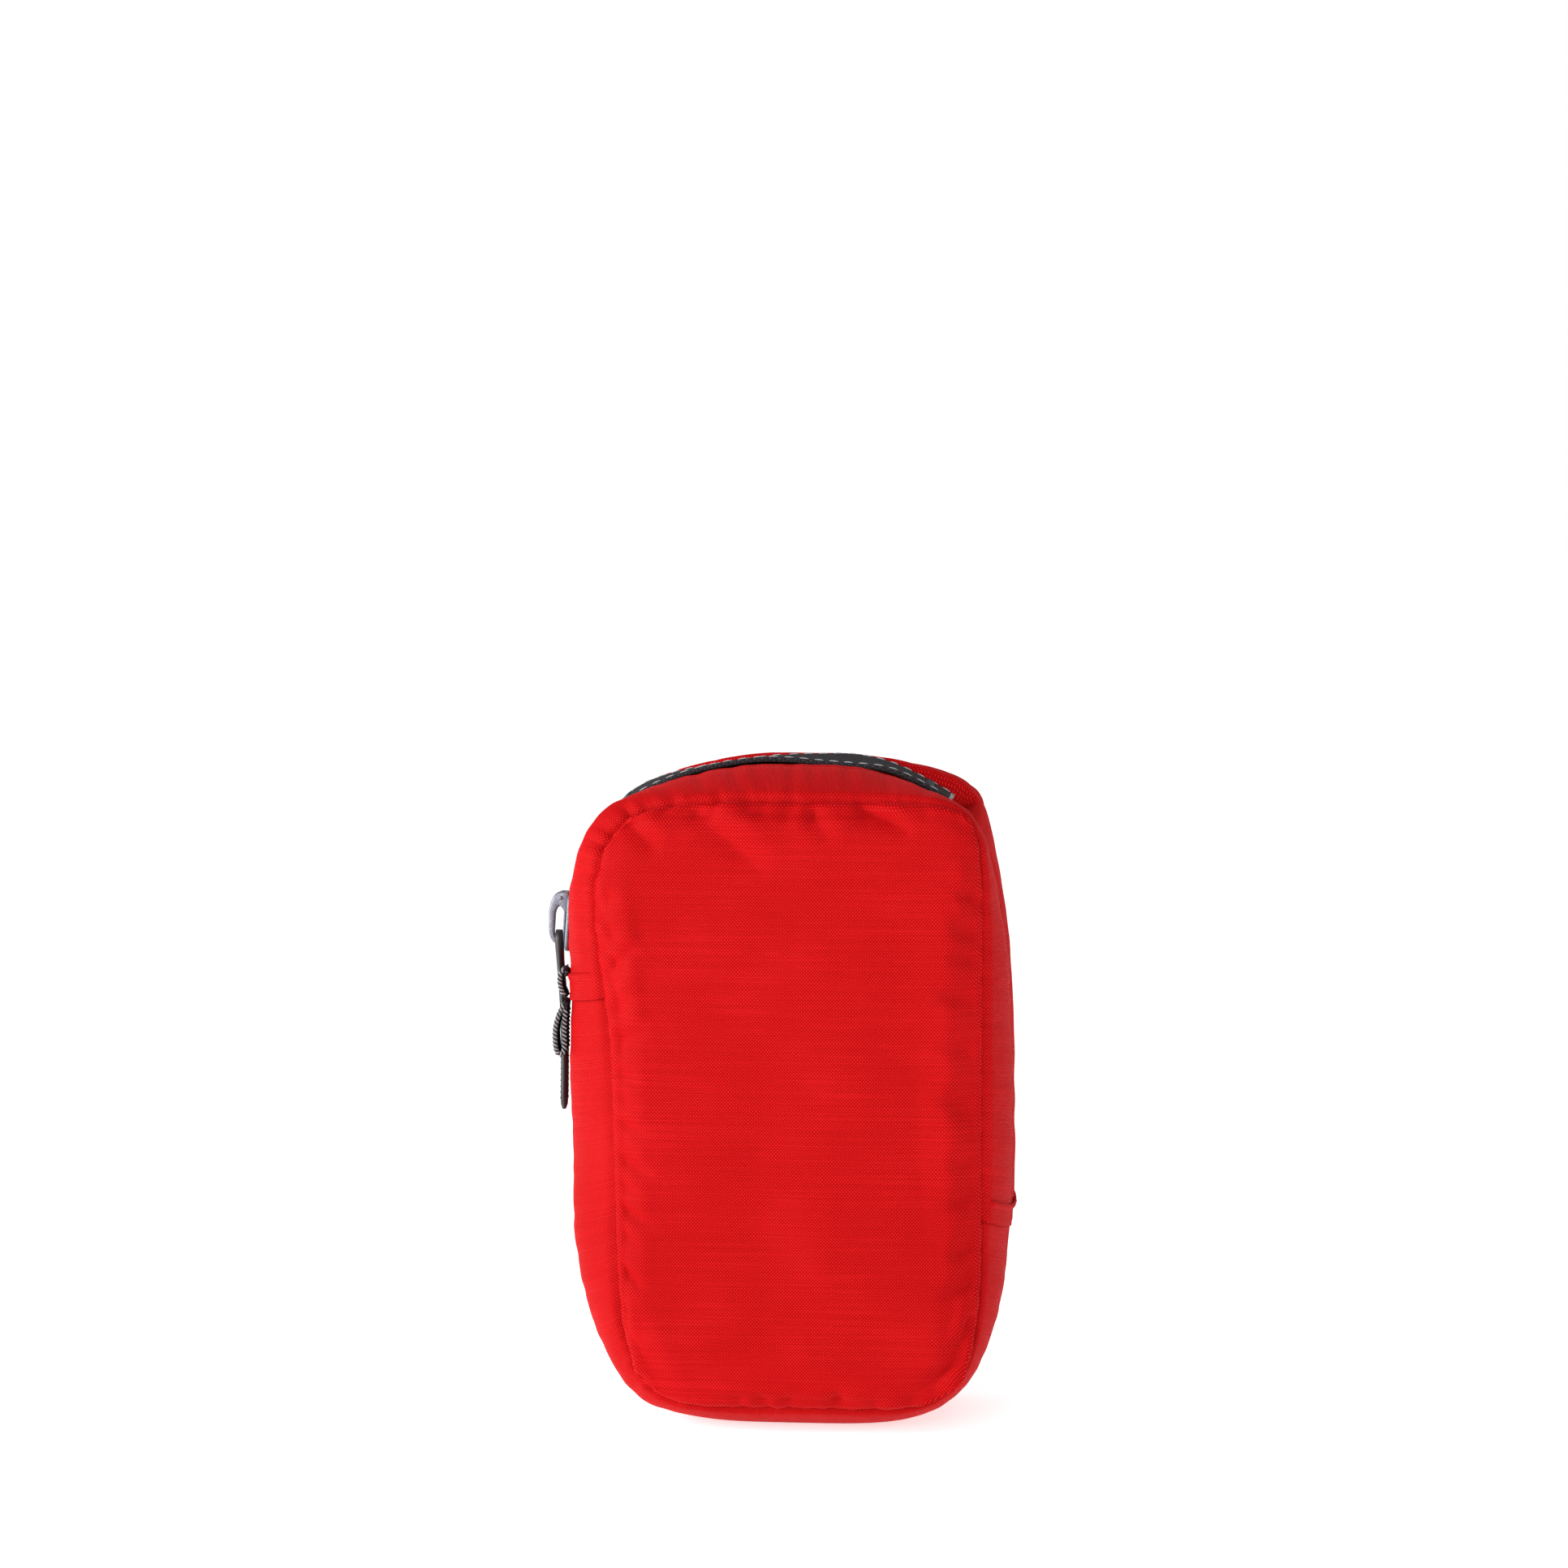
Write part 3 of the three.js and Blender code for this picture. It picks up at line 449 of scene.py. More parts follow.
def simulate_sheet(name, grid, growth, pressure, frames=22, flip=False):
    """Lets a slightly oversize sheet, sewn down along its border, find its own folds. Returns how far it moves."""
    rows, columns = grid.shape[:2]
    coarse = grid[::SIM_STEP, ::SIM_STEP] if rows > 60 and columns > 60 else grid[::SIM_STEP]
    r, c = coarse.shape[:2]
    mesh = bpy.data.meshes.new(name)
    faces = grid_faces(r, c, False, flip)
    mesh.from_pydata((coarse.reshape(-1, 3) * SIM_SCALE).tolist(), [], faces.tolist())
    obj = link(name, mesh)
    i, j = np.meshgrid(np.arange(r), np.arange(c), indexing="ij")
    edge = (i == 0) | (j == 0) | (i == r - 1) | (j == c - 1)
    group = obj.vertex_groups.new(name="sewn")
    group.add([int(k) for k in np.flatnonzero(edge.ravel())], 1.0, "REPLACE")
    cloth = obj.modifiers.new("cloth", "CLOTH")
    settings = cloth.settings
    settings.quality = 6
    settings.mass = 0.15
    settings.tension_stiffness = 25
    settings.compression_stiffness = 25
    settings.shear_stiffness = 8
    settings.bending_stiffness = 0.9
    settings.air_damping = 2
    settings.vertex_group_mass = "sewn"
    settings.shrink_min = -growth
    settings.use_pressure = True
    settings.uniform_pressure_force = pressure
    settings.effector_weights.gravity = 0
    cloth.collision_settings.use_collision = False
    cloth.collision_settings.use_self_collision = False
    cloth.point_cache.frame_start = 1
    cloth.point_cache.frame_end = frames
    scene = bpy.context.scene
    for number in range(1, frames + 1):
        scene.frame_set(number)
    graph = bpy.context.evaluated_depsgraph_get()
    final = obj.evaluated_get(graph).to_mesh()
    moved = np.zeros(len(final.vertices) * 3)
    final.vertices.foreach_get("co", moved)
    shift = moved.reshape(r, c, 3) / SIM_SCALE - coarse
    bpy.data.objects.remove(obj)
    scene.frame_set(1)
    return shift


def settle(name, grid, growth, pressure, cap, flip=False):
    """Adds the simulated folds to a panel grid, each point moving at most cap."""
    shift = simulate_sheet(name, grid, growth, pressure, flip=flip)
    size = np.linalg.norm(shift, axis=-1, keepdims=True)
    shift = shift * np.minimum(1, cap / np.maximum(size, 1e-9))
    return grid + upsample(shift, *grid.shape[:2])


# --------------------------------------------------------------------- materials
class Nodes:
    """Short way to write a node material."""

    def __init__(self, name):
        self.material = bpy.data.materials.new(name)
        self.material.use_nodes = True
        self.tree = self.material.node_tree
        self.shader = self.tree.nodes["Principled BSDF"]

    def node(self, kind, inputs=None, **settings):
        made = self.tree.nodes.new(kind)
        for key, value in settings.items():
            setattr(made, key, value)
        for key, value in (inputs or {}).items():
            self.put(made.inputs[key], value)
        return made

    def put(self, socket, value):
        if isinstance(value, bpy.types.NodeSocket):
            self.tree.links.new(value, socket)
        else:
            socket.default_value = value

    def math(self, operation, *values):
        made = self.tree.nodes.new("ShaderNodeMath")
        made.operation = operation
        for k, value in enumerate(values):
            self.put(made.inputs[k], value)
        return made.outputs[0]

    def mix(self, factor, a, b):
        made = self.tree.nodes.new("ShaderNodeMix")
        made.data_type = "RGBA"
        self.put(made.inputs[0], factor)
        self.put(made.inputs[6], a if isinstance(a, bpy.types.NodeSocket) else (*a, 1))
        self.put(made.inputs[7], b if isinstance(b, bpy.types.NodeSocket) else (*b, 1))
        return made.outputs[2]

    def noise(self, scale, vector=None, detail=3.0, rough=0.5):
        inputs = {"Scale": scale, "Detail": detail, "Roughness": rough}
        if vector is not None:
            inputs["Vector"] = vector
        return self.node("ShaderNodeTexNoise", inputs).outputs["Fac"]

    def position(self):
        return self.node("ShaderNodeTexCoord").outputs["Object"]

    def weave_uv(self):
        split = self.node("ShaderNodeSeparateXYZ",
                          {"Vector": self.node("ShaderNodeUVMap", uv_map="weave").outputs[0]})
        return split.outputs[0], split.outputs[1]

    def bump(self, height, distance, strength=1.0):
        made = self.node("ShaderNodeBump", {"Height": height, "Distance": distance, "Strength": strength})
        self.put(self.shader.inputs["Normal"], made.outputs[0])
        return made

    def set(self, **values):
        for key, value in values.items():
            self.put(self.shader.inputs[key.replace("_", " ")], value)
        return self.material


def combine(n, x, y, z=0.0):
    return n.node("ShaderNodeCombineXYZ", {"X": x, "Y": y, "Z": z}).outputs[0]


def threads(n, u, v, width_u, width_v):
    """Plain weave: (height of the threads, 0 to 1, and where the crossing thread lies on top)."""
    su = n.math("SINE", n.math("MULTIPLY", u, math.pi / width_u))
    sv = n.math("SINE", n.math("MULTIPLY", v, math.pi / width_v))
    both = n.math("MULTIPLY", su, sv)
    dome = n.math("ABSOLUTE", both)
    over = n.math("MAXIMUM", both, 0.0)
    return dome, over


def nylon(name, dark, light, thread_u=0.42 * MM, thread_v=0.47 * MM, sheen=0.35):
    """Woven nylon: lighter dots painted where the weft lies on top as a highlight, uneven rows, soft sheen."""
    n = Nodes(name)
    u, v = n.weave_uv()
    where = combine(n, u, v)
    drift = n.math("MULTIPLY", n.math("SUBTRACT", n.noise(90.0, where, 2.0), 0.5), 1.1 * MM)
    dome, over = threads(n, n.math("ADD", u, drift), n.math("ADD", v, n.math("MULTIPLY", drift, 0.35)),
                         thread_u, thread_v)
    rows = n.noise(1.0, combine(n, n.math("MULTIPLY", u, 22.0), n.math("MULTIPLY", v, 1500.0)), 2.0, 0.6)
    patches = n.noise(30.0, where, 3.0, 0.55)
    # Weft crowns: raised and smoother, and painted lighter as a highlight where the weft lies on top.
    lit_crowns = n.math("POWER", over, 1.6)
    amount = n.math("ADD", n.math("MULTIPLY", lit_crowns, 0.8),
                    n.math("MULTIPLY", n.math("SUBTRACT", rows, 0.5), 0.34))
    amount = n.math("ADD", amount, n.math("MULTIPLY", n.math("SUBTRACT", patches, 0.5), 0.4))
    # Colour: painted highlight dots on the weft crowns, plus uneven thread rows and random patches of tone.
    colour = n.mix(n.math("MAXIMUM", n.math("MINIMUM", amount, 1.0), 0.0), dark, light)
    roughness = n.math("SUBTRACT", 0.62, n.math("MULTIPLY", lit_crowns, 0.16))
    height = n.math("ADD", n.math("MULTIPLY", lit_crowns, 0.7), n.math("MULTIPLY", dome, 0.3))
    n.bump(height, 0.11 * MM, 0.8)
    n.set(Base_Color=colour, Roughness=roughness, Sheen_Weight=sheen, Sheen_Roughness=0.45,
          Sheen_Tint=(*light, 1), Specular_IOR_Level=0.04)
    return n.material


def woven_tape(name, dark, light, rib=1.05 * MM, thread=0.5 * MM, roughness=0.8):
    """Ribbed webbing: fine threads across, broader ribs along."""
    n = Nodes(name)
    u, v = n.weave_uv()
    dome, over = threads(n, u, v, thread, rib)
    fuzz = n.noise(2600.0, n.position(), 3.0)
    patches = n.noise(160.0, n.position(), 3.0)
    amount = n.math("ADD", n.math("MULTIPLY", over, 0.6),
                    n.math("MULTIPLY", n.math("SUBTRACT", fuzz, 0.45), 0.9))
    amount = n.math("ADD", amount, n.math("MULTIPLY", n.math("SUBTRACT", patches, 0.5), 0.4))
    colour = n.mix(n.math("MAXIMUM", n.math("MINIMUM", amount, 1.0), 0.0), dark, light)
    height = n.math("ADD", n.math("MULTIPLY", dome, 0.7), n.math("MULTIPLY", fuzz, 0.3))
    n.bump(height, 0.22 * MM, 0.9)
    n.set(Base_Color=colour, Roughness=roughness, Sheen_Weight=0.08, Sheen_Roughness=0.5,
          Sheen_Tint=(*light, 1),
          Specular_IOR_Level=0.25)
    return n.material


def thread_material(name, dark, light):
    n = Nodes(name)
    twist = n.noise(3500.0, n.position(), 2.0)
    n.bump(twist, 0.05 * MM, 0.7)
    return n.set(Base_Color=n.mix(twist, dark, light), Roughness=0.6, Sheen_Weight=0.1,
                 Specular_IOR_Level=0.2)


def speckled_metal(name):
    """Gunmetal enamel with fine pale specks and a cloudy tone."""
    n = Nodes(name)
    where = n.position()
    specks = n.noise(5200.0, where, 2.0, 0.6)
    cloud = n.noise(700.0, where, 3.0)
    grain = n.math("MULTIPLY", n.math("SUBTRACT", specks, 0.42), 3.2)
    grain = n.math("MAXIMUM", n.math("MINIMUM", grain, 1.0), 0.0)
    base = n.mix(grain, (0.10, 0.10, 0.125), (0.36, 0.355, 0.42))
    colour = n.mix(n.math("MULTIPLY", cloud, 0.35), base, (0.16, 0.16, 0.19))
    n.bump(specks, 0.03 * MM, 0.5)
    roughness = n.math("ADD", 0.34, n.math("MULTIPLY", cloud, 0.2))
    return n.set(Base_Color=colour, Metallic=0.55, Roughness=roughness)


def soft_plastic(name, dark, light, roughness=0.5, metallic=0.0, scale=900.0):
    n = Nodes(name)
    where = n.position()
    grain = n.noise(scale, where, 4.0)
    smear = n.noise(60.0, where, 3.0)
    n.bump(grain, 0.04 * MM, 0.4)
    rough = n.math("ADD", roughness - 0.08, n.math("MULTIPLY", smear, 0.16))
    return n.set(Base_Color=n.mix(smear, dark, light), Roughness=rough, Metallic=metallic)


# The lighter colour of each nylon is reached mostly at the painted highlight dots on the weft crowns.
RED = nylon("red_nylon", (0.30, 0.0007, 0.0012), (0.86, 0.016, 0.020))
LINING = nylon("grey_taffeta", (0.10, 0.105, 0.115), (0.24, 0.25, 0.27), 0.35 * MM, 0.35 * MM, 0.2)
WEBBING = woven_tape("charcoal_webbing", (0.010, 0.008, 0.010), (0.050, 0.042, 0.048))
TAPE = woven_tape("zip_tape", (0.006, 0.006, 0.007), (0.03, 0.03, 0.034), 0.5 * MM, 0.3 * MM)
ELASTIC = woven_tape("black_elastic", (0.008, 0.008, 0.009), (0.045, 0.045, 0.05), 0.8 * MM, 0.5 * MM)
RED_THREAD = thread_material("red_thread", (0.42, 0.006, 0.01), (0.75, 0.03, 0.04))
PALE_THREAD = thread_material("pale_thread", (0.20, 0.20, 0.21), (0.42, 0.42, 0.43))
DARK_THREAD = thread_material("dark_thread", (0.02, 0.02, 0.022), (0.06, 0.06, 0.065))
METAL = speckled_metal("speckled_gunmetal")
RUBBER = soft_plastic("black_pull", (0.013, 0.012, 0.013), (0.03, 0.028, 0.029), 0.48)
COIL = soft_plastic("black_nylon_coil", (0.006, 0.006, 0.007), (0.02, 0.02, 0.022), 0.35)


# ------------------------------------------------------------------ stitches
def tube(path, radius, sides=6, closed_ends=True):
    """(points, faces) of a round tube along a path, with tapered ends."""
    along = np.gradient(path, axis=0)
    along = along / np.maximum(np.linalg.norm(along, axis=1, keepdims=True), 1e-12)
    helper = np.where(np.abs(along[:, 2:3]) < 0.8, np.array([[0, 0, 1.0]]), np.array([[0, 1.0, 0]]))
    first = np.cross(along, helper)
    first = first / np.linalg.norm(first, axis=1, keepdims=True)
    second = np.cross(along, first)
    angle = np.arange(sides) / sides * 2 * math.pi
    radii = np.broadcast_to(np.asarray(radius, float), (len(path),)).reshape(-1, 1, 1)
    ring = np.cos(angle)[None, :, None] * first[:, None] + np.sin(angle)[None, :, None] * second[:, None]
    points = (path[:, None] + radii * ring).reshape(-1, 3)
    faces = []
    for i in range(len(path) - 1):
        for j in range(sides):
            k = (j + 1) % sides
            faces.append([i * sides + j, i * sides + k, (i + 1) * sides + k, (i + 1) * sides + j])
    if closed_ends:
        faces.append(list(range(sides))[::-1])
        faces.append([(len(path) - 1) * sides + j for j in range(sides)])
    return points, faces


def merge(parts):
    points, faces, start = [], [], 0
    for part_points, part_faces in parts:
        points.append(part_points)
        faces.extend([[index + start for index in face] for face in part_faces])
        start += len(part_points)
    return np.concatenate(points), faces


DASH_SHAPE = np.array([0.35, 0.85, 1.0, 0.85, 0.35])


def stitch_row(name, path, normals, length, gap, radius, material, body, lift=0.4, blend=None):
    """A row of thread dashes along a path on the cloth, each sunk at its ends."""
    total = arc_length(path)[-1]
    parts = []
    at = gap
    while at + length < total:
        reach = length * RNG.uniform(0.93, 1.05)
        where = np.linspace(at, at + reach, len(DASH_SHAPE))
        points = resample(path, where)
        out = resample_with(path, normals, where)
        rise = radius * (lift + 0.5) * (DASH_SHAPE - 0.55)
        parts.append(tube(points + out * rise[:, None], radius * (0.55 + 0.45 * DASH_SHAPE), 6))
        at += reach + gap
    obj = mesh_object(name, *merge(parts), material)
    if blend:
        blend(obj)
    else:
        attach(obj, body)
    return obj


def resample_with(path, values, positions):
    length = arc_length(path)
    out = np.stack([np.interp(positions, length, values[:, k]) for k in range(3)], -1)
    return out / np.maximum(np.linalg.norm(out, axis=1, keepdims=True), 1e-12)


# -------------------------------------------------------------------- red shell
def across_fold(obj):
    """For cloth that crosses the lid's fold: bakes its transform into its mesh; the cloth is not bent over the fold
    and rides on no body.
    """
    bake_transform(obj)
    return obj


def seam_uv(grid, side):
    """Weave map of a gusset: along the outline, and across it."""
    count, columns = grid.shape[:2]
    middle = grid[:, columns // 2]
    u = np.concatenate([[0], np.cumsum(np.linalg.norm(np.diff(middle, axis=0), axis=1))])
    steps = np.linalg.norm(np.diff(grid, axis=1), axis=-1)
    v = np.concatenate([np.zeros((count, 1)), np.cumsum(steps, axis=1)], 1)
    v = v.mean(0, keepdims=True).repeat(count, 0) * side
    return np.stack([v, u[:, None].repeat(columns, 1)], -1)


def panel_uv(grid):
    return grid[..., [0, 2]]


def wrapped(grid, start, stop):
    """Rows of a closed gusset grid from one index to another, going round past the end."""
    return np.take(grid, np.arange(start, stop), axis=0, mode="wrap")


def row_at(grid, x_sign, height):
    """Index of the outline row on one side of the pouch at a height."""
    edge = grid[:, 0]
    on_side = np.sign(edge[:, 0]) == x_sign
    return int(np.argmin(np.where(on_side, np.abs(edge[:, 2] - height), 9.0)))


GUSSETS = {side: gusset_grid(side) for side in (-1, 1)}
RIGHT_END = row_at(GUSSETS[-1], 1, FOLD_RIGHT_Z)
LEFT_END = row_at(GUSSETS[-1], -1, FOLD_LEFT_Z)


def add_panels():
    for side, name in ((-1, "front_panel_cloth"), (1, "back_panel_cloth")):
        grid, distance = panel_grid(side)
        settled = settle(name + "_sim", grid, 0.035, -1.2 * side, 1.6 * MM, flip=side > 0)
        hold = smoothstep(distance, 0, 2.5 * MM)[..., None]
        grid = grid + (settled - grid) * hold
        obj = cloth_object(name, grid, panel_uv(grid), RED, flip=side < 0)
        if side < 0:
            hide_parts("front_panel_upper", "front_panel_lower")
            across_fold(obj)
        else:
            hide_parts("back_panel")
            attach(obj, "case")


def hem_roll(grid, rows=4, drop=0.9 * MM):
    """Turns the first columns of a gusset inwards, as the folded edge beside the zip."""
    grid = grid.copy()
    normal = grid_normals(grid)
    outward = np.sign((normal[..., 0] * grid[..., 0]).sum())
    share = np.clip(1 - np.arange(grid.shape[1]) / rows, 0, 1) ** 2
    return grid - outward * normal * (share * drop)[None, :, None]


def add_gussets():
    """Front zip gusset, rear zip gusset and the full-depth base gusset."""
    for side, name, node, body in (
        (-1, "front_gusset_cloth", "front_gusset", "lid"),
        (1, "back_gusset_cloth", "back_gusset", "case"),
    ):
        overlap = 5
        grid = hem_roll(wrapped(GUSSETS[side], RIGHT_END - overlap, LEFT_END + overlap))
        obj = cloth_object(name, grid, seam_uv(grid, side), RED, flip=side < 0)
        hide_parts(node)
        if side < 0:
            across_fold(obj)
        else:
            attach(obj, "case")
    near = wrapped(GUSSETS[-1], LEFT_END - LEFT_HEM_ROWS, RIGHT_END + RIGHT_HEM_ROWS + BORDER)
    far = wrapped(GUSSETS[1], LEFT_END - LEFT_HEM_ROWS, RIGHT_END + RIGHT_HEM_ROWS + BORDER)
    base = np.concatenate([near[:, ::-1], far], 1)
    outward = base.copy()
    outward[..., 1] = 0
    outward[..., 2] -= CENTRE_Z
    outward = outward / np.linalg.norm(outward, axis=-1, keepdims=True)
    rows = len(base)
    from_end = np.minimum(np.arange(rows), rows - 1 - np.arange(rows)) * 0.93 * MM
    hem = 1.0 * np.exp(-(from_end / (6 * MM)) ** 2) + 0.8 * bell(from_end, 1.0 * MM, 1.3 * MM)
    hem = hem - 0.5 * bell(from_end, 2.8 * MM, 0.8 * MM) - 0.7 * bell(from_end, 6.5 * MM, 0.9 * MM)
    lift = hem * MM
    thin = 1 - 0.75 * bell(base[0, :, 1], 0, 6.5 * MM)
    base = base + outward * (lift[:, None] * np.where(np.arange(rows)[:, None] < rows // 2, thin, 1.0))[...,
                                                                                                        None]
    base[..., 2] = np.maximum(base[..., 2], 0.1 * MM)
    obj = cloth_object("base_gusset_cloth", base, seam_uv(base, 1), RED, flip=True)
    dress(obj, "base_gusset", "case")
    return base


def outward_normals(grid):
    """Normals of a gusset grid, away from the middle of the pouch."""
    normal = grid_normals(grid)
    away = grid * [1, 0, 1] - [0, 0, CENTRE_Z]
    return normal * np.sign((normal * away).sum(-1, keepdims=True))


def add_seam_stitches(base):
    """Topstitching beside the zip, and the double rows that close the zip's ends."""
    for side, word in ((-1, "front"), (1, "back")):
        grid = wrapped(GUSSETS[side], RIGHT_END + 5, LEFT_END - 6)
        column = int(np.argmin(np.abs(np.abs(grid[0, :, 1]) - STITCHED_FLAP)))
        normals = outward_normals(grid)[:, column]
        row = stitch_row(f"{word}_flap_stitches", grid[:, column], normals, 4.6 * MM, 1.5 * MM, 0.26 * MM,
                         RED_THREAD,
                         "case", 0.9, (lambda piece: across_fold(piece)) if side < 0 else None)
    normals = outward_normals(base)
    for word, first in (("left", 0), ("right", len(base) - 1)):
        step = 1 if first == 0 else -1
        for number, offset in enumerate((3, 7)):
            index = first + step * offset
            used = slice(3, base.shape[1] - 3)
            stitch_row(f"zip_end_{word}_stitches_{number}", base[index, used], normals[index, used], 2.7 * MM,
                       0.9 * MM,
                       0.22 * MM, RED_THREAD, "case", 0.7)


add_panels()
BASE = add_gussets()
add_seam_stitches(BASE)


# --------------------------------------------------------------- swept pieces
def bezier(*controls, count=16):
    """Points of a Bezier curve in the x-z plane, in millimetres."""
    t = np.linspace(0, 1, count)[:, None]
    points = [np.array(p, float)[None] * np.ones_like(t) for p in controls]
    while len(points) > 1:
        points = [a * (1 - t) + b * t for a, b in zip(points, points[1:])]
    return points[0]


def chain(*curves):
    """Joins curves that meet end to end."""
    return np.concatenate([curves[0]] + [curve[1:] for curve in curves[1:]])


def rounded_section(width, thickness, steps=3):
    """Rounded rectangle as (across, out) points, going round once."""
    radius = min(width, thickness) * 0.5 * 0.85
    corners = [(1, -1, -90), (1, 1, 0), (-1, 1, 90), (-1, -1, 180)]
    points = []
    for sx, sy, start in corners:
        for k in range(steps + 1):
            a = math.radians(start + 90 * k / steps)
            points.append((
                sx * (width / 2 - radius) + radius * math.cos(a),
                sy * (thickness / 2 - radius) + radius * math.sin(a),
            ))
    return np.array(points)


def split_wide(section, across=8):
    """Adds points on the two long sides of a section, so that it can carry ripples."""
    out = []
    for a, b in zip(section, np.roll(section, -1, 0)):
        out.append(a)
        if np.linalg.norm(b - a) > 0.4 * (section[:, 0].max() - section[:, 0].min()):
            out.extend(a + (b - a) * k / across for k in range(1, across))
    return np.array(out)


def sweep(path, side, out, section, scale=None, closed=False):
    """Lofts a section of (across, out) points along a path: (points, faces, weave map)."""
    count, size = len(path), len(section)
    scale = np.ones((count, 2)) if scale is None else np.asarray(scale)
    across = section[None, :, 0:1] * scale[:, None, 0:1]
    proud = section[None, :, 1:2] * scale[:, None, 1:2]
    points = path[:, None] + across * side[:, None] + proud * out[:, None]
    faces = []
    for i in range(count if closed else count - 1):
        k = (i + 1) % count
        for j in range(size):
            n = (j + 1) % size
            faces.append([i * size + j, i * size + n, k * size + n, k * size + j])
    if not closed:
        faces.append(list(range(size))[::-1])
        faces.append([(count - 1) * size + j for j in range(size)])
    v = arc_length(path)[:, None] * np.ones((1, size))
    u = section[None, :, 0] + np.sign(section[None, :, 1]) * 0.2 * MM + np.zeros((count, 1))
    return points.reshape(-1, 3), faces, np.stack([u, v], -1).reshape(-1, 2)


def outward_faces(points, faces):
    """Turns every face over when the piece's volume comes out negative."""
    volume = 0.0
    for face in faces:
        for k in range(1, len(face) - 1):
            volume += np.dot(points[face[0]], np.cross(points[face[k]], points[face[k + 1]]))
    return [face[::-1] for face in faces] if volume < 0 else faces


def swept(name, path, side, out, section, material, scale=None, closed=False, ripple=0.0):
    points, faces, uv = sweep(path, side, out, section, scale, closed)
    if ripple:
        points = points + RNG.normal(0, ripple, points.shape)
    return mesh_object(name, points, outward_faces(points, faces), material, uv)


def ribbon_frames(path, side):
    """Side and outward directions of a ribbon whose width runs along one fixed side vector."""
    along = np.gradient(path, axis=0)
    along = along / np.linalg.norm(along, axis=1, keepdims=True)
    sides = np.broadcast_to(np.asarray(side, float), path.shape)
    out = np.cross(along, sides)
    return sides, out / np.linalg.norm(out, axis=1, keepdims=True)


def whipped_edge(name, path, side, out, half_width, half_thick, pitch, material, radius=0.16 * MM):
    """Overlock thread that wraps each edge of a ribbon."""
    total = arc_length(path)[-1]
    parts = []
    for sign in (-1, 1):
        for at in np.arange(pitch / 2, total - pitch / 2, pitch):
            angle = np.linspace(-0.6 * math.pi, 0.6 * math.pi, 7)
            slant = at + angle / math.pi * pitch * 0.8
            centre = resample(path, slant)
            s = resample_with(path, side, slant)
            o = resample_with(path, out, slant)
            reach = (half_width - 0.25 * MM + 0.4 * MM * np.cos(angle))[:, None]
            lift = ((half_thick + radius * 0.4) * np.sin(angle))[:, None]
            parts.append(tube(centre + sign * s * reach + o * lift, radius, 5))
    return mesh_object(name, *merge(parts), material)


def rows(points, *values):
    """Repeats single vectors to match a path."""
    return [np.broadcast_to(np.asarray(v, float), (len(points), 3)) for v in values]


# ------------------------------------------------------- slider, ring and strip
SLIDER_AT = np.array([-59.43, 134.5])
SLIDER_TILT = math.radians(3.6)
SLIDER_UP = np.array([math.sin(SLIDER_TILT), math.cos(SLIDER_TILT)])
SLIDER_OUT = np.array([-math.cos(SLIDER_TILT), math.sin(SLIDER_TILT)])


def on_slider(out, y, up):
    """World place of points given as outset from the zip, depth and height along it, in millimetres."""
    out, y, up = np.broadcast_arrays(*(np.asarray(v, float) for v in (out, y, up)))
    flat = SLIDER_AT + out[..., None] * SLIDER_OUT + up[..., None] * SLIDER_UP
    return np.stack([flat[..., 0], y, flat[..., 1]], -1) * MM


def dense(loop, spacing=0.25):
    """Closed loop of points, filled in to an even spacing."""
    closed = np.concatenate([loop, loop[:1]])
    length = arc_length(closed)
    return resample(closed, np.arange(0, length[-1], spacing))


def ray_loop(loop, centre, angles):
    """Distance from a centre to a closed loop at each angle."""
    rel = loop - centre
    theta = np.arctan2(rel[:, 1], rel[:, 0])
    order = np.argsort(theta)
    return np.interp(angles, theta[order], np.linalg.norm(rel, axis=1)[order], period=2 * math.pi)


RING_SECTION = np.array([
    (0, -0.55), (0.1, -0.86), (0.24, -1), (0.5, -1.04), (0.76, -1), (0.9, -0.86), (1, -0.55),
    (1, 0.55), (0.9, 0.86), (0.76, 1), (0.5, 1.04), (0.24, 1), (0.1, 0.86), (0, 0.55),
])


def ring_mesh(outer, inner, centre, half_thick, place, count=110):
    """Flat ring between two loops, with rounded edges."""
    angles = np.linspace(-math.pi, math.pi, count, endpoint=False)
    far = ray_loop(outer, centre, angles)[:, None]
    near = ray_loop(inner, centre, angles)[:, None]
    radius = near + (far - near) * RING_SECTION[None, :, 0]
    a = centre[0] + radius * np.cos(angles)[:, None]
    b = centre[1] + radius * np.sin(angles)[:, None]
    y = np.broadcast_to(RING_SECTION[None, :, 1] * half_thick, a.shape)
    points = place(a, y, b).reshape(-1, 3)
    size = len(RING_SECTION)
    faces = []
    for i in range(count):
        k = (i + 1) % count
        for j in range(size):
            n = (j + 1) % size
            faces.append([i * size + j, i * size + n, k * size + n, k * size + j])
    return points, outward_faces(points, faces)


def add_ring():
    outer = chain(
        bezier((3, -6.2), (2.4, -6.2), (2.4, -5.4)),
        bezier((2.4, -5.4), (2.4, 6.6)),
        bezier((2.4, 6.6), (2.4, 8.1), (3.9, 8.1)),
        bezier((3.9, 8.1), (6.2, 8), (7, 5.6), (7.2, 2.4)),
        bezier((7.2, 2.4), (7, -1.6)),
        bezier((7, -1.6), (6.9, -4.2), (6.1, -5.8), (4.8, -6.2)),
    )
    window = chain(
        bezier((3.15, -4.2), (3.15, 4.4)),
        bezier((3.15, 4.4), (5.35, 4.4), (5.35, 1.4)),
        bezier((5.35, 1.4), (5.35, -3.6)),
        bezier((5.35, -3.6), (5.35, -4.2), (4.8, -4.2)),
    )
    points, faces = ring_mesh(dense(outer, 0.1), dense(window, 0.1), np.array([4.25, 0.1]), 1.08, on_slider)
    obj = mesh_object("pull_ring_metal", points, faces, METAL)
    dress(obj, "pull_ring", "ring")


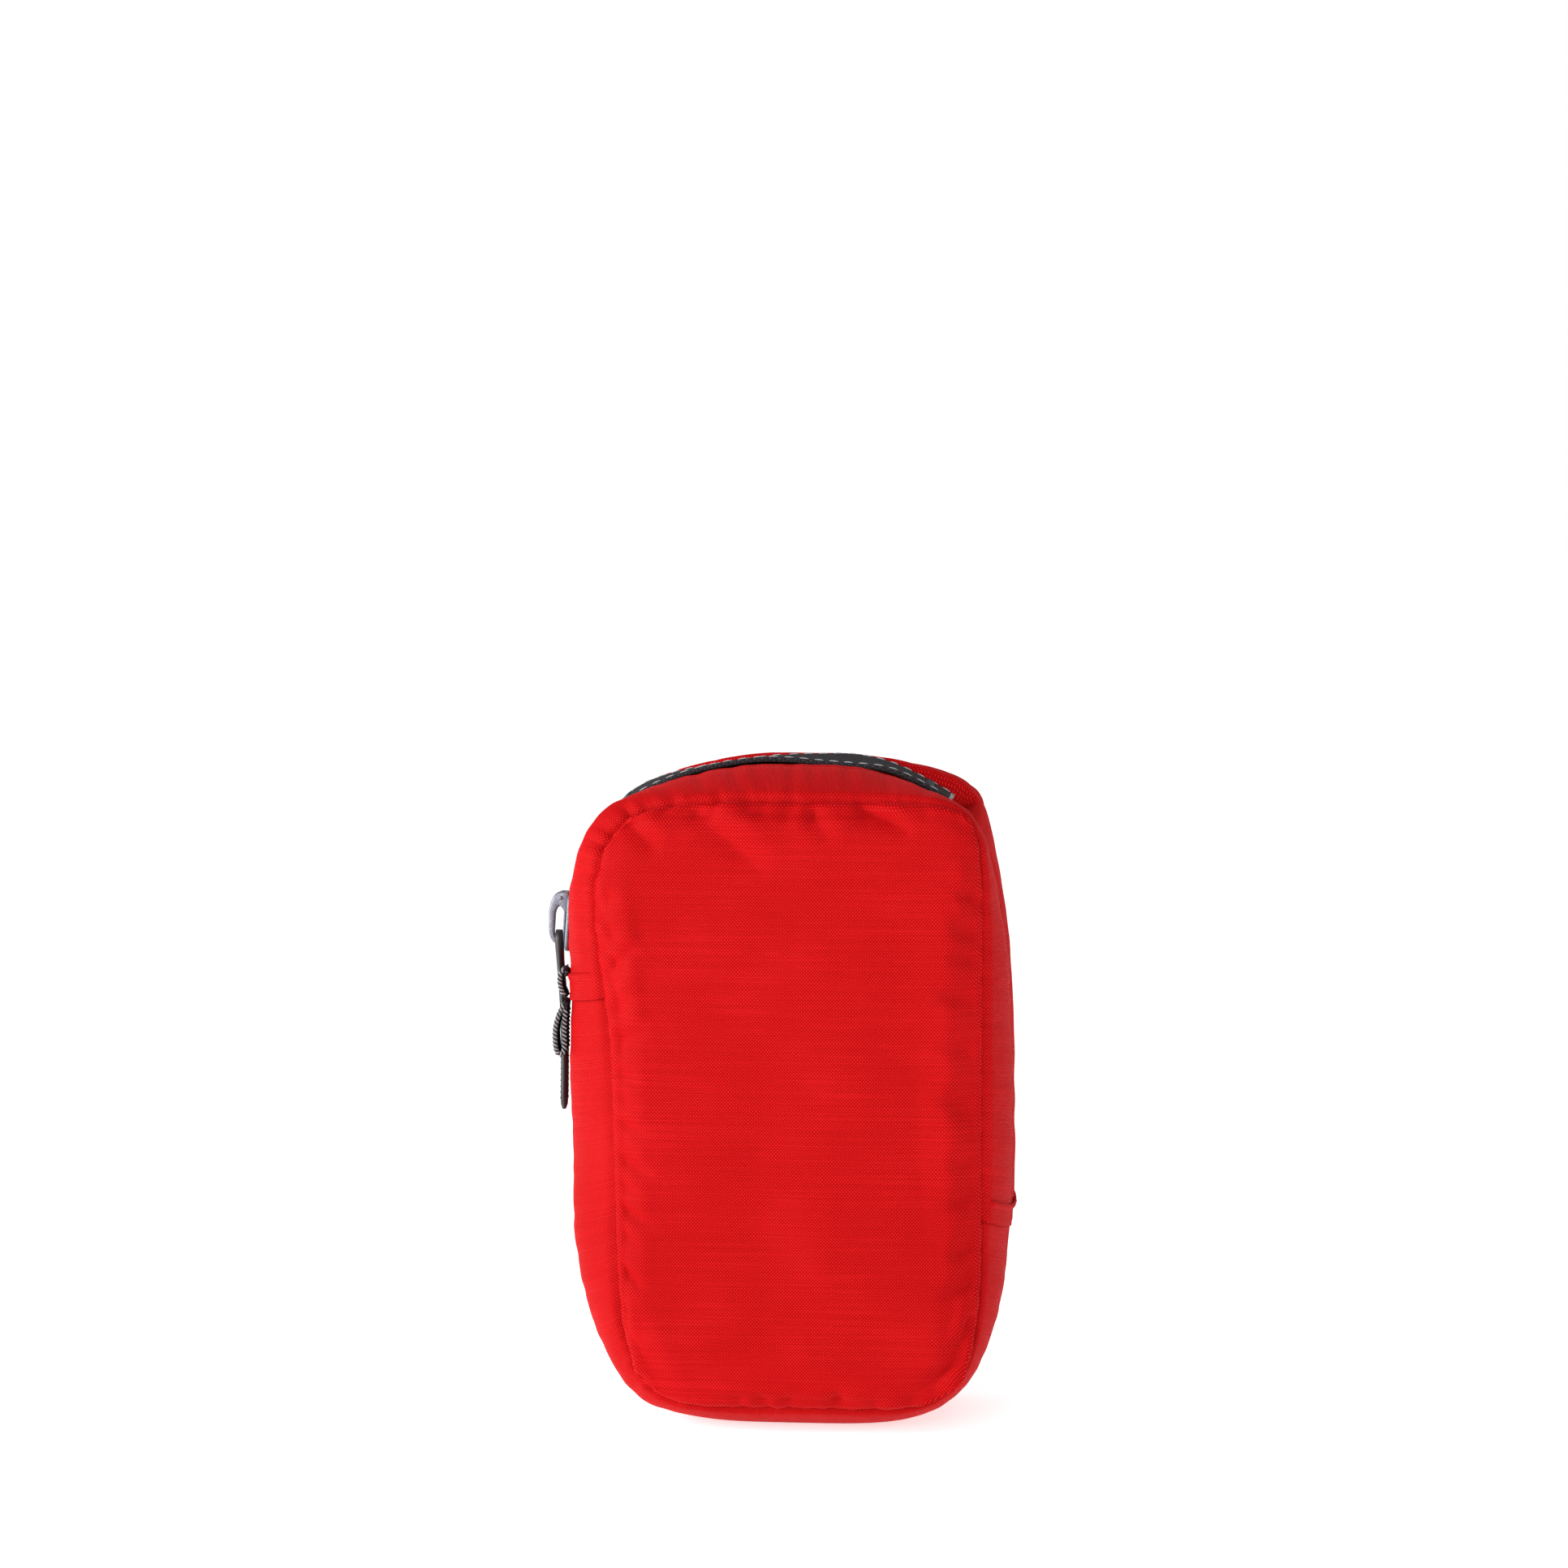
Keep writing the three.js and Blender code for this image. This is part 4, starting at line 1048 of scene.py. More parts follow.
def plate_mesh(loop, low, high, bevel, place):
    """Plate with rounded edges from an outline; place() takes (a, thickness, b)."""
    along = np.roll(loop, -1, 0) - np.roll(loop, 1, 0)
    out = np.stack([along[:, 1], -along[:, 0]], -1)
    out = out / np.linalg.norm(out, axis=1, keepdims=True)
    area = np.sum(loop[:, 0] * np.roll(loop[:, 1], -1) - np.roll(loop[:, 0], -1) * loop[:, 1])
    out = out * np.sign(area)
    layers = []
    for inset, level in ((1, low), (0.3, low + 0.3 * bevel), (0, low + bevel),
                         (0, high - bevel), (0.3, high - 0.3 * bevel), (1, high)):
        ring = loop - out * inset * bevel
        layers.append(place(ring[:, 0], np.full(len(ring), level), ring[:, 1]))
    size = len(loop)
    points = np.concatenate(layers)
    faces = [list(range(size)), [len(points) - size + j for j in range(size)][::-1]]
    for i in range(len(layers) - 1):
        for j in range(size):
            n = (j + 1) % size
            faces.append([i * size + j, (i + 1) * size + j, (i + 1) * size + n, i * size + n])
    return points, outward_faces(points, faces)


def add_slider():
    half = chain(
        bezier((0, -8), (3.6, -8), (4.7, -6.8), (4.7, -4.6)),
        bezier((4.7, -4.6), (4.7, -0.5), (3.9, 1), (3.9, 4)),
        bezier((3.9, 4), (3.9, 7), (3, 8), (0, 8)),
    )
    loop = dense(np.concatenate([half, half[-2:0:-1] * [-1, 1]]), 0.5)

    def upright(a, level, b):
        return on_slider(level, a, b)

    parts = [plate_mesh(loop, 0.9, 2.0, 0.35, upright)]
    lower = loop[loop[:, 0] > 0.4]
    parts.append(plate_mesh(lower, -5.1, -4.2, 0.25, upright))
    neck = np.array([(-0.4, -2.5), (0.4, -2.5), (0.4, 4.5), (-0.4, 4.5)])
    parts.append(plate_mesh(dense(neck, 0.4), -4.6, 1.2, 0.1, upright))
    cheek = chain(
        bezier((1.9, 2.2), (1.9, 8)),
        bezier((1.9, 8), (2.4, 8.3), (3.9, 8.15)),
        bezier((3.9, 8.15), (5.4, 8.1), (5.5, 6.4), (4.9, 5.4)),
        bezier((4.9, 5.4), (3.4, 3.8), (2.8, 2.8), (1.9, 2.2)),
    )[:-1]
    for low in (-2.35, 1.45):
        parts.append(plate_mesh(dense(cheek, 0.4), low, low + 0.9, 0.22, on_slider))
    pin = [on_slider(3.9, y, 6.6) for y in (-2.6, 2.6)]
    parts.append(tube(np.array([pin[0], (pin[0] + pin[1]) / 2, pin[1]]), 0.55 * MM, 12))
    obj = mesh_object("zip_slider_metal", *merge(parts), METAL)
    dress(obj, "zip_slider", "slider")


def add_strip():
    """Moulded pull that hangs from the ring's lower bar, slightly bowed, with a bevelled tip."""
    line = chain(
        bezier((-63.75, 132.4), (-63.7, 128), (-63.5, 124), (-63.0, 118), count=22),
        bezier((-63.0, 118), (-62.2, 108), (-62.3, 98), (-62.6, 83.4), count=34),
    )
    z = line[:, 1]
    path = np.stack([line[:, 0], np.zeros(len(line)), z], -1) * MM
    side, out = ribbon_frames(path, (0, 1, 0))
    top, tip = 132.4, 83.4
    width = 5.8 * np.sqrt(np.clip(1 - (1 - np.minimum(top - z, 2.4) / 2.4) ** 2, 0.02, 1))
    width = np.minimum(width, 2.8 + 3.0 * np.clip((z - tip) / 3.4, 0, 1))
    width = width * (1 - 0.1 * bell(z, 121, 5))
    thick = 2.0 + 0.4 * bell(z, 129.5, 3.5) - 0.9 * np.clip(1 - (z - tip) / 1.6, 0, 1) - 0.5 * bell(z, 132.4,
                                                                                                    0.7)
    section = rounded_section(1.0, 1.0)
    flat = np.array([(x, y) for x, y in zip(section[:, 0], section[:, 1])])
    obj = swept("pull_strip_moulded", path, side, out, flat, RUBBER, np.stack([width, thick], -1) * MM)
    dress(obj, "pull_strip", "strip")
    ribs = []
    for height in np.arange(86.5, 101, 1.6):
        x = np.interp(height, z[::-1], line[::-1, 0])
        for face in (-0.78, 0.78):
            ribs.append(tube(np.array([(x + face, y, height) for y in np.linspace(-2.1, 2.1, 7)]) * MM,
                             np.array([0.1, 0.3, 0.34, 0.34, 0.34, 0.3, 0.1]) * MM, 6))
    grip = mesh_object("pull_strip_ribs", *merge(ribs), RUBBER)
    grip.parent = obj


def add_zip_end():
    """Folded webbing sewn in at the zip's lower end: a short curl above and a hanging loop."""
    width, thick = 6.6 * MM, 0.85 * MM
    section = rounded_section(width, thick)
    loop = chain(
        bezier((-60.7, 114.3), (-62.4, 111.5), (-63.9, 108.2), (-63.7, 104.2), count=20),
        bezier((-63.7, 104.2), (-63.6, 101), (-63.3, 99.9), (-62.3, 99.85), count=14),
        bezier((-62.3, 99.85), (-61.3, 99.9), (-61.0, 101), (-61.1, 103.5), count=12),
        bezier((-61.1, 103.5), (-61.2, 107), (-61.0, 111), (-60.5, 114.0), count=18),
    )
    curl = chain(
        bezier((-60.6, 115.2), (-62.5, 117.0), (-62.9, 121.6), (-61.5, 122.7), count=20),
        bezier((-61.5, 122.7), (-60.8, 122.9), (-60.5, 122.2), (-60.6, 121), count=8),
    )
    for name, line, node, body in (("end_loop", loop, "zip_end_loop", "tab"),
                                   ("end_curl", curl, "zip_end_curl", "case")):
        path = np.stack([line[:, 0], np.full(len(line), -6.7), line[:, 1]], -1) * MM
        side, out = ribbon_frames(path, (0, 1, 0))
        obj = swept(name + "_webbing", path, side, out, section, WEBBING)
        dress(obj, node, body)
        inner = path[2:-2]
        for offset, material in ((0.0, PALE_THREAD), (0.55 * MM, DARK_THREAD)):
            shifted = inner + np.gradient(inner, axis=0) / np.linalg.norm(np.gradient(inner, axis=0),
                                                                          axis=1)[:, None] * offset
            tone = "pale" if offset == 0 else "dark"
            stitches = whipped_edge(f"{name}_overlock_{tone}", shifted, side[2:-2], out[2:-2],
                                    width / 2, thick / 2, 1.1 * MM, material, 0.2 * MM)
            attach(stitches, body)


# ---------------------------------------------------------------- carry handle
HANDLE_THICK = 1.4 * MM


def handle_line(start_x, end_x, count):
    """Middle line of the handle over the rear half of the top, with its outward direction."""
    surface = outline(HANDLE_Y, 1)
    out = radial(surface)
    top = surface[:, 1] > 150 * MM
    surface, out = surface[top], out[top]
    order = np.argsort(surface[:, 0])
    surface, out = surface[order], out[order]
    length = arc_length(surface)
    start, end = (np.interp(x, surface[:, 0], length) for x in (start_x, end_x))
    at = np.linspace(start, end, count)
    place = np.stack([np.interp(at, length, surface[:, k]) for k in range(2)], -1)
    away = np.stack([np.interp(at, length, out[:, k]) for k in range(2)], -1)
    away = away / np.linalg.norm(away, axis=1, keepdims=True)
    return place, away, at


def add_handle():
    count = 150
    place, away, at = handle_line(-49.5 * MM, 42 * MM, count)
    x = place[:, 0]
    sag = 0.5 * MM * np.sin(at / (31 * MM) * 2 * math.pi + 1.0) * bell(x, 0, 30 * MM)
    lift = 0.1 * MM + 0.4 * sag - 1.5 * MM * smoothstep(x, 22 * MM, 40 * MM)
    centre = place + away * lift[:, None]
    drift = 0.5 * MM * np.sin(at / (60 * MM) * 2 * math.pi)
    narrow = end_narrowing(x)
    path = np.stack([centre[:, 0], HANDLE_Y + drift * (1 - narrow / narrow.max()) - narrow / 2, centre[:, 1]],
                    -1)
    share = 1 - narrow / HANDLE_WIDTH
    scale = np.stack([share, np.ones(count)], -1)
    roll = math.radians(5) * np.sin(at / (75 * MM) * 2 * math.pi + 0.4) * (1 - smoothstep(x, 10 * MM,
                                                                                          30 * MM))
    out = np.stack([away[:, 0], np.zeros(count), away[:, 1]], -1)
    y_axis = np.array([0, 1.0, 0])
    side = y_axis * np.cos(roll)[:, None] + out * np.sin(roll)[:, None]
    out = np.cross(side, np.gradient(path, axis=0))
    out = out / np.linalg.norm(out, axis=1, keepdims=True)
    if out[:, 2].mean() < 0:
        out = -out
    section = split_wide(rounded_section(HANDLE_WIDTH, HANDLE_THICK, 4), 12)
    middle = count // 2
    for name, rows_used, anchor, free in (
        ("left", slice(0, middle + 1), path[4], path[int(count * 0.3)]),
        ("right", slice(middle, count), path[-4], path[int(count * 0.72)]),
    ):
        obj = swept("handle_" + name, path[rows_used], side[rows_used], out[rows_used], section, WEBBING,
                    scale=scale[rows_used])
        nodes = ["handle_end_" + name] + (["handle_grip"] if name == "left" else [])
        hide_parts(*nodes)
        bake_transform(obj)
        for sign, place_name in ((-1, "near"), (1, "far")):
            edge = path + side * (sign * (HANDLE_WIDTH / 2 * share - 1.2 * MM))[:,
                                                                                None] + out * (HANDLE_THICK / 2)
            stitch_row(f"handle_{name}_stitch_{place_name}", edge[rows_used], out[rows_used], 2.5 * MM,
                       1.6 * MM,
                       0.2 * MM, PALE_THREAD, "case",
                       blend=lambda piece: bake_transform(piece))
    fringe = []
    end, along = path[-1], path[-1] - path[-2]
    along = along / np.linalg.norm(along)
    for _ in range(170):
        across = RNG.uniform(-0.5, 0.5) * HANDLE_WIDTH * share[-1]
        start = end + side[-1] * across + out[-1] * RNG.uniform(-0.4, 0.4) * HANDLE_THICK - along * 0.3 * MM
        reach = RNG.uniform(0.5, 1.5) * MM
        bend = (side[-1] * RNG.normal(0, 0.3) + out[-1] * RNG.normal(0.1, 0.3)) * reach
        steps = np.linspace(0, 1, 4)[:, None]
        fringe.append(tube(start + along * reach * steps + bend * steps ** 2, 0.09 * MM, 4))
    frayed = mesh_object("handle_frayed_end", *merge(fringe), PALE_THREAD)
    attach(frayed, "case")
    tacks = []
    for x_at in (0.05, 0.93):
        index = int(count * x_at)
        for k in range(-3, 4):
            across = side[index] * k / 3 * (HANDLE_WIDTH / 2 * share[index] - 2 * MM)
            base = path[index] + across + out[index] * HANDLE_THICK / 2
            step = path[index + 2] - path[index - 2]
            step = step / np.linalg.norm(step)
            zig = np.array([base - step * 1.2 * MM, base + out[index] * 0.12 * MM, base + step * 1.2 * MM])
            tacks.append(tube(zig, 0.24 * MM, 6))
            cross = np.array([base + side[index] * 1.5 * MM - step * 1.1 * MM,
                              base + side[index] * 2.6 * MM + step * 1.1 * MM])
            if k < 3:
                tacks.append(tube(np.array([cross[0], cross.mean(0) + out[index] * 0.1 * MM, cross[1]]),
                                  0.2 * MM, 6))
    tack = mesh_object("handle_bar_tacks", *merge(tacks), DARK_THREAD)
    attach(tack, "case")


# ------------------------------------------------------------ zip tape and coil
def zip_rows(y, depth, start=RIGHT_END, stop=LEFT_END, side=None):
    """Points along the zip at one depth under the outline, from the right end round to the left end."""
    side = side or (1 if y > 0 else -1)
    ring = outline(y, side, depth)
    points = np.take(ring, np.arange(start, stop), axis=0, mode="wrap")
    return np.stack([points[:, 0], np.full(len(points), y), points[:, 1]], -1)


def add_zip(side, body, word):
    levels = [0.03, 1.2, 2.4, 4.0, 6.0, 8.0]
    tape_grid = np.stack([zip_rows(side * y * MM, (2.3 + 0.35 * max(0, y - 2.4)) * MM) for y in levels], 1)
    tape = cloth_object(f"zip_tape_{word}_woven", tape_grid, seam_uv(tape_grid, side), TAPE, flip=side < 0,
                        thickness=0.5 * MM)
    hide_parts("zip_tape_" + word)
    spine = zip_rows(side * 0.72 * MM, 1.25 * MM)
    spine = resample(spine, np.arange(0, arc_length(spine)[-1], 0.16 * MM))
    side_vector, = rows(spine, (0, side, 0))
    along = np.gradient(spine, axis=0)
    along = along / np.linalg.norm(along, axis=1, keepdims=True)
    out = np.cross(along, side_vector) * side
    turn = np.arange(len(spine)) * 0.16 / 1.27 * 2 * math.pi + (math.pi if side > 0 else 0)
    helix = spine + side_vector * (0.85 * MM * np.cos(turn))[:, None] + out * (0.45 * MM * np.sin(turn))[:,
                                                                                                         None]
    points, faces = tube(helix, 0.3 * MM, 5)
    coil = mesh_object(f"zip_coil_{word}_teeth", points, faces, COIL)
    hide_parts("zip_coil_" + word)
    seam = zip_rows(side * 3.0 * MM, 1.75 * MM)
    thread = tube(resample(seam, np.arange(0, arc_length(seam)[-1], 2.2 * MM)), 0.16 * MM, 5)
    stitch = mesh_object(f"zip_coil_{word}_thread", *thread, DARK_THREAD)
    for obj in (tape, coil, stitch):
        if side < 0:
            across_fold(obj)
        else:
            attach(obj, body)


add_ring()
add_slider()
add_strip()
add_zip_end()
add_handle()
add_zip(-1, "lid", "front")
add_zip(1, "case", "back")


# ----------------------------------------------------------- padding and lining
def band_ring(y, side, inset, count=360, follow_groove=False):
    """Closed ring of points at one depth, inset from the seam's outline."""
    ring = outline(side * HALF_DEPTH, side, inset, count)
    depth = np.full(count, float(y))
    if follow_groove:
        groove = np.interp(np.arange(count) / count, np.arange(BORDER) / BORDER, SEAMS[side][1])
        extra = np.maximum(groove - 1.2 * MM, 0)
        depth = depth - side * extra * 0.9
        ring = ring - radial(ring) * extra[:, None] * 0.6
    return np.stack([ring[:, 0], depth, ring[:, 1]], -1)


def sheet_grid(y, side, inset, nx=48, nz=78):
    return coons_patch(band_ring(y, side, inset, 2 * (nx + nz)), nx, nz)


def add_padding(side, word):
    """Foam pad and quilted lining of one half."""
    near, far = 22.5 * MM, 24.3 * MM
    nx, nz = 36, 60
    inner = sheet_grid(side * near, side, 4.9 * MM, nx, nz)
    outer = sheet_grid(side * far, side, 4.9 * MM, nx, nz)
    middle = sheet_grid(side * (near + far) / 2, side, 4.6 * MM, nx, nz)
    count = inner.shape[0] * inner.shape[1]
    points = np.concatenate([inner.reshape(-1, 3), outer.reshape(-1, 3), border_of(middle, nx)])
    quads = grid_faces(nx + 1, nz + 1)
    faces = [list(q) for q in quads] + [[i + count for i in q[::-1]] for q in quads]
    index = np.arange(count).reshape(nx + 1, nz + 1)
    edge = border_of(index, nx)
    for k in range(len(edge)):
        n = (k + 1) % len(edge)
        mid_k, mid_n = 2 * count + k, 2 * count + n
        faces.append([edge[k], mid_k, mid_n, edge[n]])
        faces.append([mid_k, edge[k] + count, edge[n] + count, mid_n])
    foam = mesh_object(f"{word}_foam_pad", points, outward_faces(points, faces), FOAM)
    quilt = sheet_grid(side * 21.8 * MM, side, 3.7 * MM, 72, 118)
    x, z = quilt[..., 0], quilt[..., 2]
    lines = 26 * MM
    diamond = np.abs(np.sin(math.pi * (x + z) / lines) * np.sin(math.pi * (x - z) / lines))
    quilt[..., 1] -= side * 0.35 * MM * (diamond ** 0.4 - 1)
    lining = cloth_object(f"{word}_lining_cloth", quilt, panel_uv(quilt), LINING, flip=side > 0,
                          thickness=0.4 * MM)
    binding_ring = band_ring(side * 22.35 * MM, side, 2.5 * MM, 420, True)
    if side > 0:
        under = smoothstep(binding_ring[:, 0], 12 * MM, 30 * MM) * smoothstep(binding_ring[:, 2], 150 * MM,
                                                                              166 * MM)
        binding_ring[:, 2] -= 2.0 * MM * under
    out2d = radial(binding_ring[:, [0, 2]])
    out = np.stack([out2d[:, 0], np.zeros(len(out2d)), out2d[:, 1]], -1)
    depth_axis, = rows(binding_ring, (0, side, 0))
    section = rounded_section(3.2 * MM, 4.4 * MM)
    binding = swept(f"{word}_seam_binding", binding_ring, depth_axis, out, section, BINDING, closed=True,
                    ripple=0.03 * MM)
    stitch_path = binding_ring - depth_axis * 1.6 * MM - out * 0.6 * MM
    thread = tube_dashes(f"{word}_binding_stitches", stitch_path, -depth_axis, 2.4 * MM, 0.8 * MM, 0.16 * MM,
                         DARK_THREAD)
    for obj, kind in ((foam, "foam"), (lining, "lining"), (binding, "binding")):
        if side < 0:
            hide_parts(f"front_{kind}_upper", f"front_{kind}_lower")
        else:
            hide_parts(f"back_{kind}")
    for obj in (foam, lining, binding, thread):
        if side < 0:
            across_fold(obj)
        else:
            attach(obj, "case")


def tube_dashes(name, path, normals, length, gap, radius, material):
    """Row of stitches without a body; the caller says what it moves with."""
    kept = {}
    stitch_row(name, path, normals, length, gap, radius, material, "case",
               blend=lambda piece: kept.update(piece=piece))
    return kept["piece"]


# ------------------------------------------------------------------ mesh pockets
NET_PITCH = 1.7 * MM


def net_piece(name, low, high, half_width, place, material):
    """Diamond net between low(x) and high, put in space by place(x, z)."""
    nx = int(2 * half_width / NET_PITCH)
    nz = int(90 * MM / NET_PITCH)
    index, points, faces = {}, [], []

    def corner(i, j):
        if (i, j) not in index:
            index[i, j] = len(points)
            x = -half_width + i * NET_PITCH
            z = low(0) - 40 * MM + j * NET_PITCH
            points.append(place(x, min(max(z, low(x)), high)))
        return index[i, j]

    for i in range(1, nx):
        for j in range(0, nz * 2):
            if (i + j) % 2:
                continue
            x = -half_width + i * NET_PITCH
            z = low(0) - 40 * MM + j * NET_PITCH
            if low(x) - 0.5 * NET_PITCH < z < high - 1.5 * NET_PITCH:
                faces.append([corner(i, j), corner(i + 1, j + 1), corner(i, j + 2), corner(i - 1, j + 1)])
    obj = mesh_object(name, points, faces, material)
    add_modifier(obj, "WIREFRAME", thickness=0.34 * MM, use_even_offset=False)
    return apply_modifiers(obj)


def add_pocket(side, word, body, low, high, half_width=43 * MM):
    base, reach = 21.2 * MM, (5.6 if side < 0 else 4.2) * MM

    def depth(x, z):
        across = np.clip(1 - (x / half_width) ** 4, 0, 1)
        up = smoothstep(z, low(x), low(x) + (7 if side < 0 else 16) * MM)
        pleat = 0.25 * MM * math.sin(x / (7 * MM) * 2 * math.pi) * float(smoothstep(z, high - 18 * MM, high))
        return side * (base - 0.4 * MM - (reach - 0.6 * MM) * float(across * up) + pleat)

    net = net_piece(f"{word}_pocket_net", low, high, half_width, lambda x, z: (x, depth(x, z), z), MESH)
    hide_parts(f"{word}_mesh_pocket")
    xs = np.linspace(-half_width, half_width, 90)
    hem_path = np.array([(x, depth(x, high - 3 * MM), high - 3 * MM) for x in xs])
    up, out = rows(hem_path, (0, 0, 1), (0, -side, 0))
    hem = swept(f"{word}_pocket_hem", hem_path, up, out, rounded_section(7 * MM, 0.9 * MM), ELASTIC,
                ripple=0.02 * MM)
    frame_path = [(-half_width, side * (base - 0.3 * MM), z) for z in np.linspace(high - 4 * MM,
                                                                                  low(-half_width), 12)]
    frame_path += [(x, side * (base - 0.3 * MM), low(x)) for x in np.linspace(-half_width, half_width,
                                                                              40)[1:-1]]
    frame_path += [(half_width, side * (base - 0.3 * MM), z) for z in np.linspace(low(half_width),
                                                                                  high - 4 * MM, 12)]
    frame_path = np.array(frame_path)
    along = np.gradient(frame_path, axis=0)
    along = along / np.linalg.norm(along, axis=1, keepdims=True)
    outs, = rows(frame_path, (0, -side, 0))
    edge = swept(f"{word}_pocket_edge", frame_path, np.cross(outs, along), outs,
                 rounded_section(5 * MM, 0.8 * MM),
                 BINDING, ripple=0.02 * MM)
    stitches = [
        tube_dashes(f"{word}_pocket_edge_stitches", frame_path + outs * 0.4 * MM, outs, 2.4 * MM, 0.9 * MM,
                    0.16 * MM, PALE_THREAD),
        tube_dashes(f"{word}_pocket_hem_stitches", hem_path + out * 0.45 * MM - up * 2.6 * MM, out, 2.4 * MM,
                    0.9 * MM,
                    0.16 * MM, PALE_THREAD),
    ]
    for piece in (net, hem, edge, *stitches):
        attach(piece, body)
    flat = (2 * half_width + 6 * MM, high - low(0) + 6 * MM)


# ------------------------------------------------------------- wrapped dressings
def crinkle(x, z, wavelength, sharp=0.7):
    """Creased foil or paper: seeded ridges in many directions."""
    total = np.zeros_like(x)
    for _ in range(9):
        angle = RNG.uniform(0, math.pi)
        length = wavelength * RNG.uniform(0.5, 1.7)
        phase = RNG.uniform(0, 6.28)
        bend = RNG.normal(0, 0.6)
        t = x * math.cos(angle) + z * math.sin(angle)
        s = -x * math.sin(angle) + z * math.cos(angle)
        wave = np.abs(np.sin(math.pi * t / length + phase + bend * np.sin(s / (2 * length))))
        total += wave ** sharp - 0.6
    return total / 9


def packet_parts(box, wrinkle, seal, nx=44, nz=56, serrated=True):
    """Sealed packet that fills a box given as its two corners, thin along y."""
    (x0, y0, z0), (x1, y1, z1) = box
    u, w = np.meshgrid(np.linspace(0, 1, nx), np.linspace(0, 1, nz), indexing="ij")
    x, z = x0 + (x1 - x0) * u, z0 + (z1 - z0) * w
    from_edge = np.minimum(np.minimum(x - x0, x1 - x), np.minimum(z - z0, z1 - z))
    fill = smoothstep(from_edge, seal, seal + 0.16 * min(x1 - x0, z1 - z0)) ** 0.8
    slack = crinkle(x, z, 13 * MM)
    fine = crinkle(x, z, 4.5 * MM)
    half = (y1 - y0) / 2
    if serrated:
        edge_row = np.sign(np.sin(np.arange(nx) * math.pi + 0.5)) * 0.18 * MM
        z = z.copy()
        z[:, 0] += np.abs(edge_row)
        z[:, -1] -= np.abs(edge_row) * (np.arange(nx) % 2)
    sheets = []
    for sign in (-1, 1):
        lift = 0.12 * MM + (half - 0.25 * MM) * fill * (0.86 + 0.14 * slack * 2)
        lift = lift + wrinkle * (slack + 0.6 * fine) * (0.25 + 0.75 * fill)
        lift = np.clip(lift, 0.1 * MM, half)
        middle = (y0 + y1) / 2 + 0.35 * MM * slack * (1 - fill)
        sheets.append(np.stack([x, middle + sign * lift, z], -1))
    count = nx * nz
    points = np.concatenate([s.reshape(-1, 3) for s in sheets])
    quads = grid_faces(nx, nz)
    faces = [list(q) for q in quads] + [[i + count for i in q[::-1]] for q in quads]
    index = np.arange(count).reshape(nx, nz)
    edge = np.concatenate([index[:-1, 0], index[-1, :-1], index[:0:-1, -1], index[0, :0:-1]])
    for k in range(len(edge)):
        a, b = int(edge[k]), int(edge[(k + 1) % len(edge)])
        faces.append([a, b, b + count, a + count][::-1])
    return points, outward_faces(points, faces)


def add_packet(name, node, body, material, wrinkle=0.35 * MM, seal=4 * MM,
               trim=((0, 0, 0), (0, 0, 0))):
    low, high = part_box(node)
    low, high = np.array(low) + np.array(trim[0]) * MM, np.array(high) + np.array(trim[1]) * MM
    points, faces = packet_parts((low, high), wrinkle, seal)
    obj = mesh_object(name, points, faces, material, points[:, [0, 2]])
    dress(obj, node, body)
    return obj


def add_roll(name, node, material, layers):
    """Rolled bandage: one long strip wound from the core out."""
    low, high = (np.array(corner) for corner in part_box(node))
    centre = (low + high) / 2
    outer = (high[0] - low[0]) / 2 - 0.35 * MM
    inner = 1.6 * MM
    steps = layers * 36
    turn = np.linspace(0, layers * 2 * math.pi, steps)
    radius = inner + (outer - inner) * turn / turn[-1]
    radius = radius + 0.12 * MM * np.sin(turn * 3.3) * (radius / outer)
    heights = np.linspace(low[2] + 0.4 * MM, high[2] - 0.4 * MM, 16)
    edge = 0.5 * MM * wave_noise(turn, 2.2) * 0.5
    grid = np.zeros((steps, 16, 3))
    grid[..., 0] = centre[0] + (radius * np.cos(turn))[:, None]
    grid[..., 1] = centre[1] + (radius * np.sin(turn))[:, None]
    grid[..., 2] = heights[None]
    grid[:, 0, 2] += np.abs(edge)
    grid[:, -1, 2] -= np.abs(edge)
    length = arc_length(np.stack([grid[:, 0, 0], grid[:, 0, 1]], -1))
    uv = np.stack([grid[..., 2], np.broadcast_to(length[:, None], grid.shape[:2])], -1)
    obj = cloth_object(name, grid, uv, material, thickness=(outer - inner) / layers * 0.62, flip=True)
    dress(obj, node, "case")
    return centre


def add_band(name, node, centre):
    low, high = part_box(node)
    radius = (high[0] - low[0]) / 2 - 0.42 * MM
    turn = np.linspace(0, 2 * math.pi, 72, endpoint=False)
    out = np.stack([np.cos(turn), np.sin(turn), np.zeros(72)], -1)
    path = np.array([centre[0], centre[1], (low[2] + high[2]) / 2]) + out * radius
    up, = rows(path, (0, 0, 1))
    obj = swept(name, path, up, out, split_wide(rounded_section(11.6 * MM, 0.7 * MM), 6), ELASTIC,
                closed=True,
                ripple=0.03 * MM)
    dress(obj, node, "case")


def lathe(profile, centre, count=72):
    """Turned piece round the y axis from (radius, y) points in millimetres; a closed profile."""
    profile = np.array(profile) * MM
    turn = np.linspace(0, 2 * math.pi, count, endpoint=False)
    points = np.zeros((count, len(profile), 3))
    points[..., 0] = centre[0] * MM + profile[None, :, 0] * np.cos(turn)[:, None]
    points[..., 1] = profile[None, :, 1]
    points[..., 2] = centre[1] * MM + profile[None, :, 0] * np.sin(turn)[:, None]
    size = len(profile)
    faces = []
    for i in range(count):
        k = (i + 1) % count
        for j in range(size):
            n = (j + 1) % size
            faces.append([i * size + j, i * size + n, k * size + n, k * size + j])
    points = points.reshape(-1, 3)
    return points, outward_faces(points, faces)


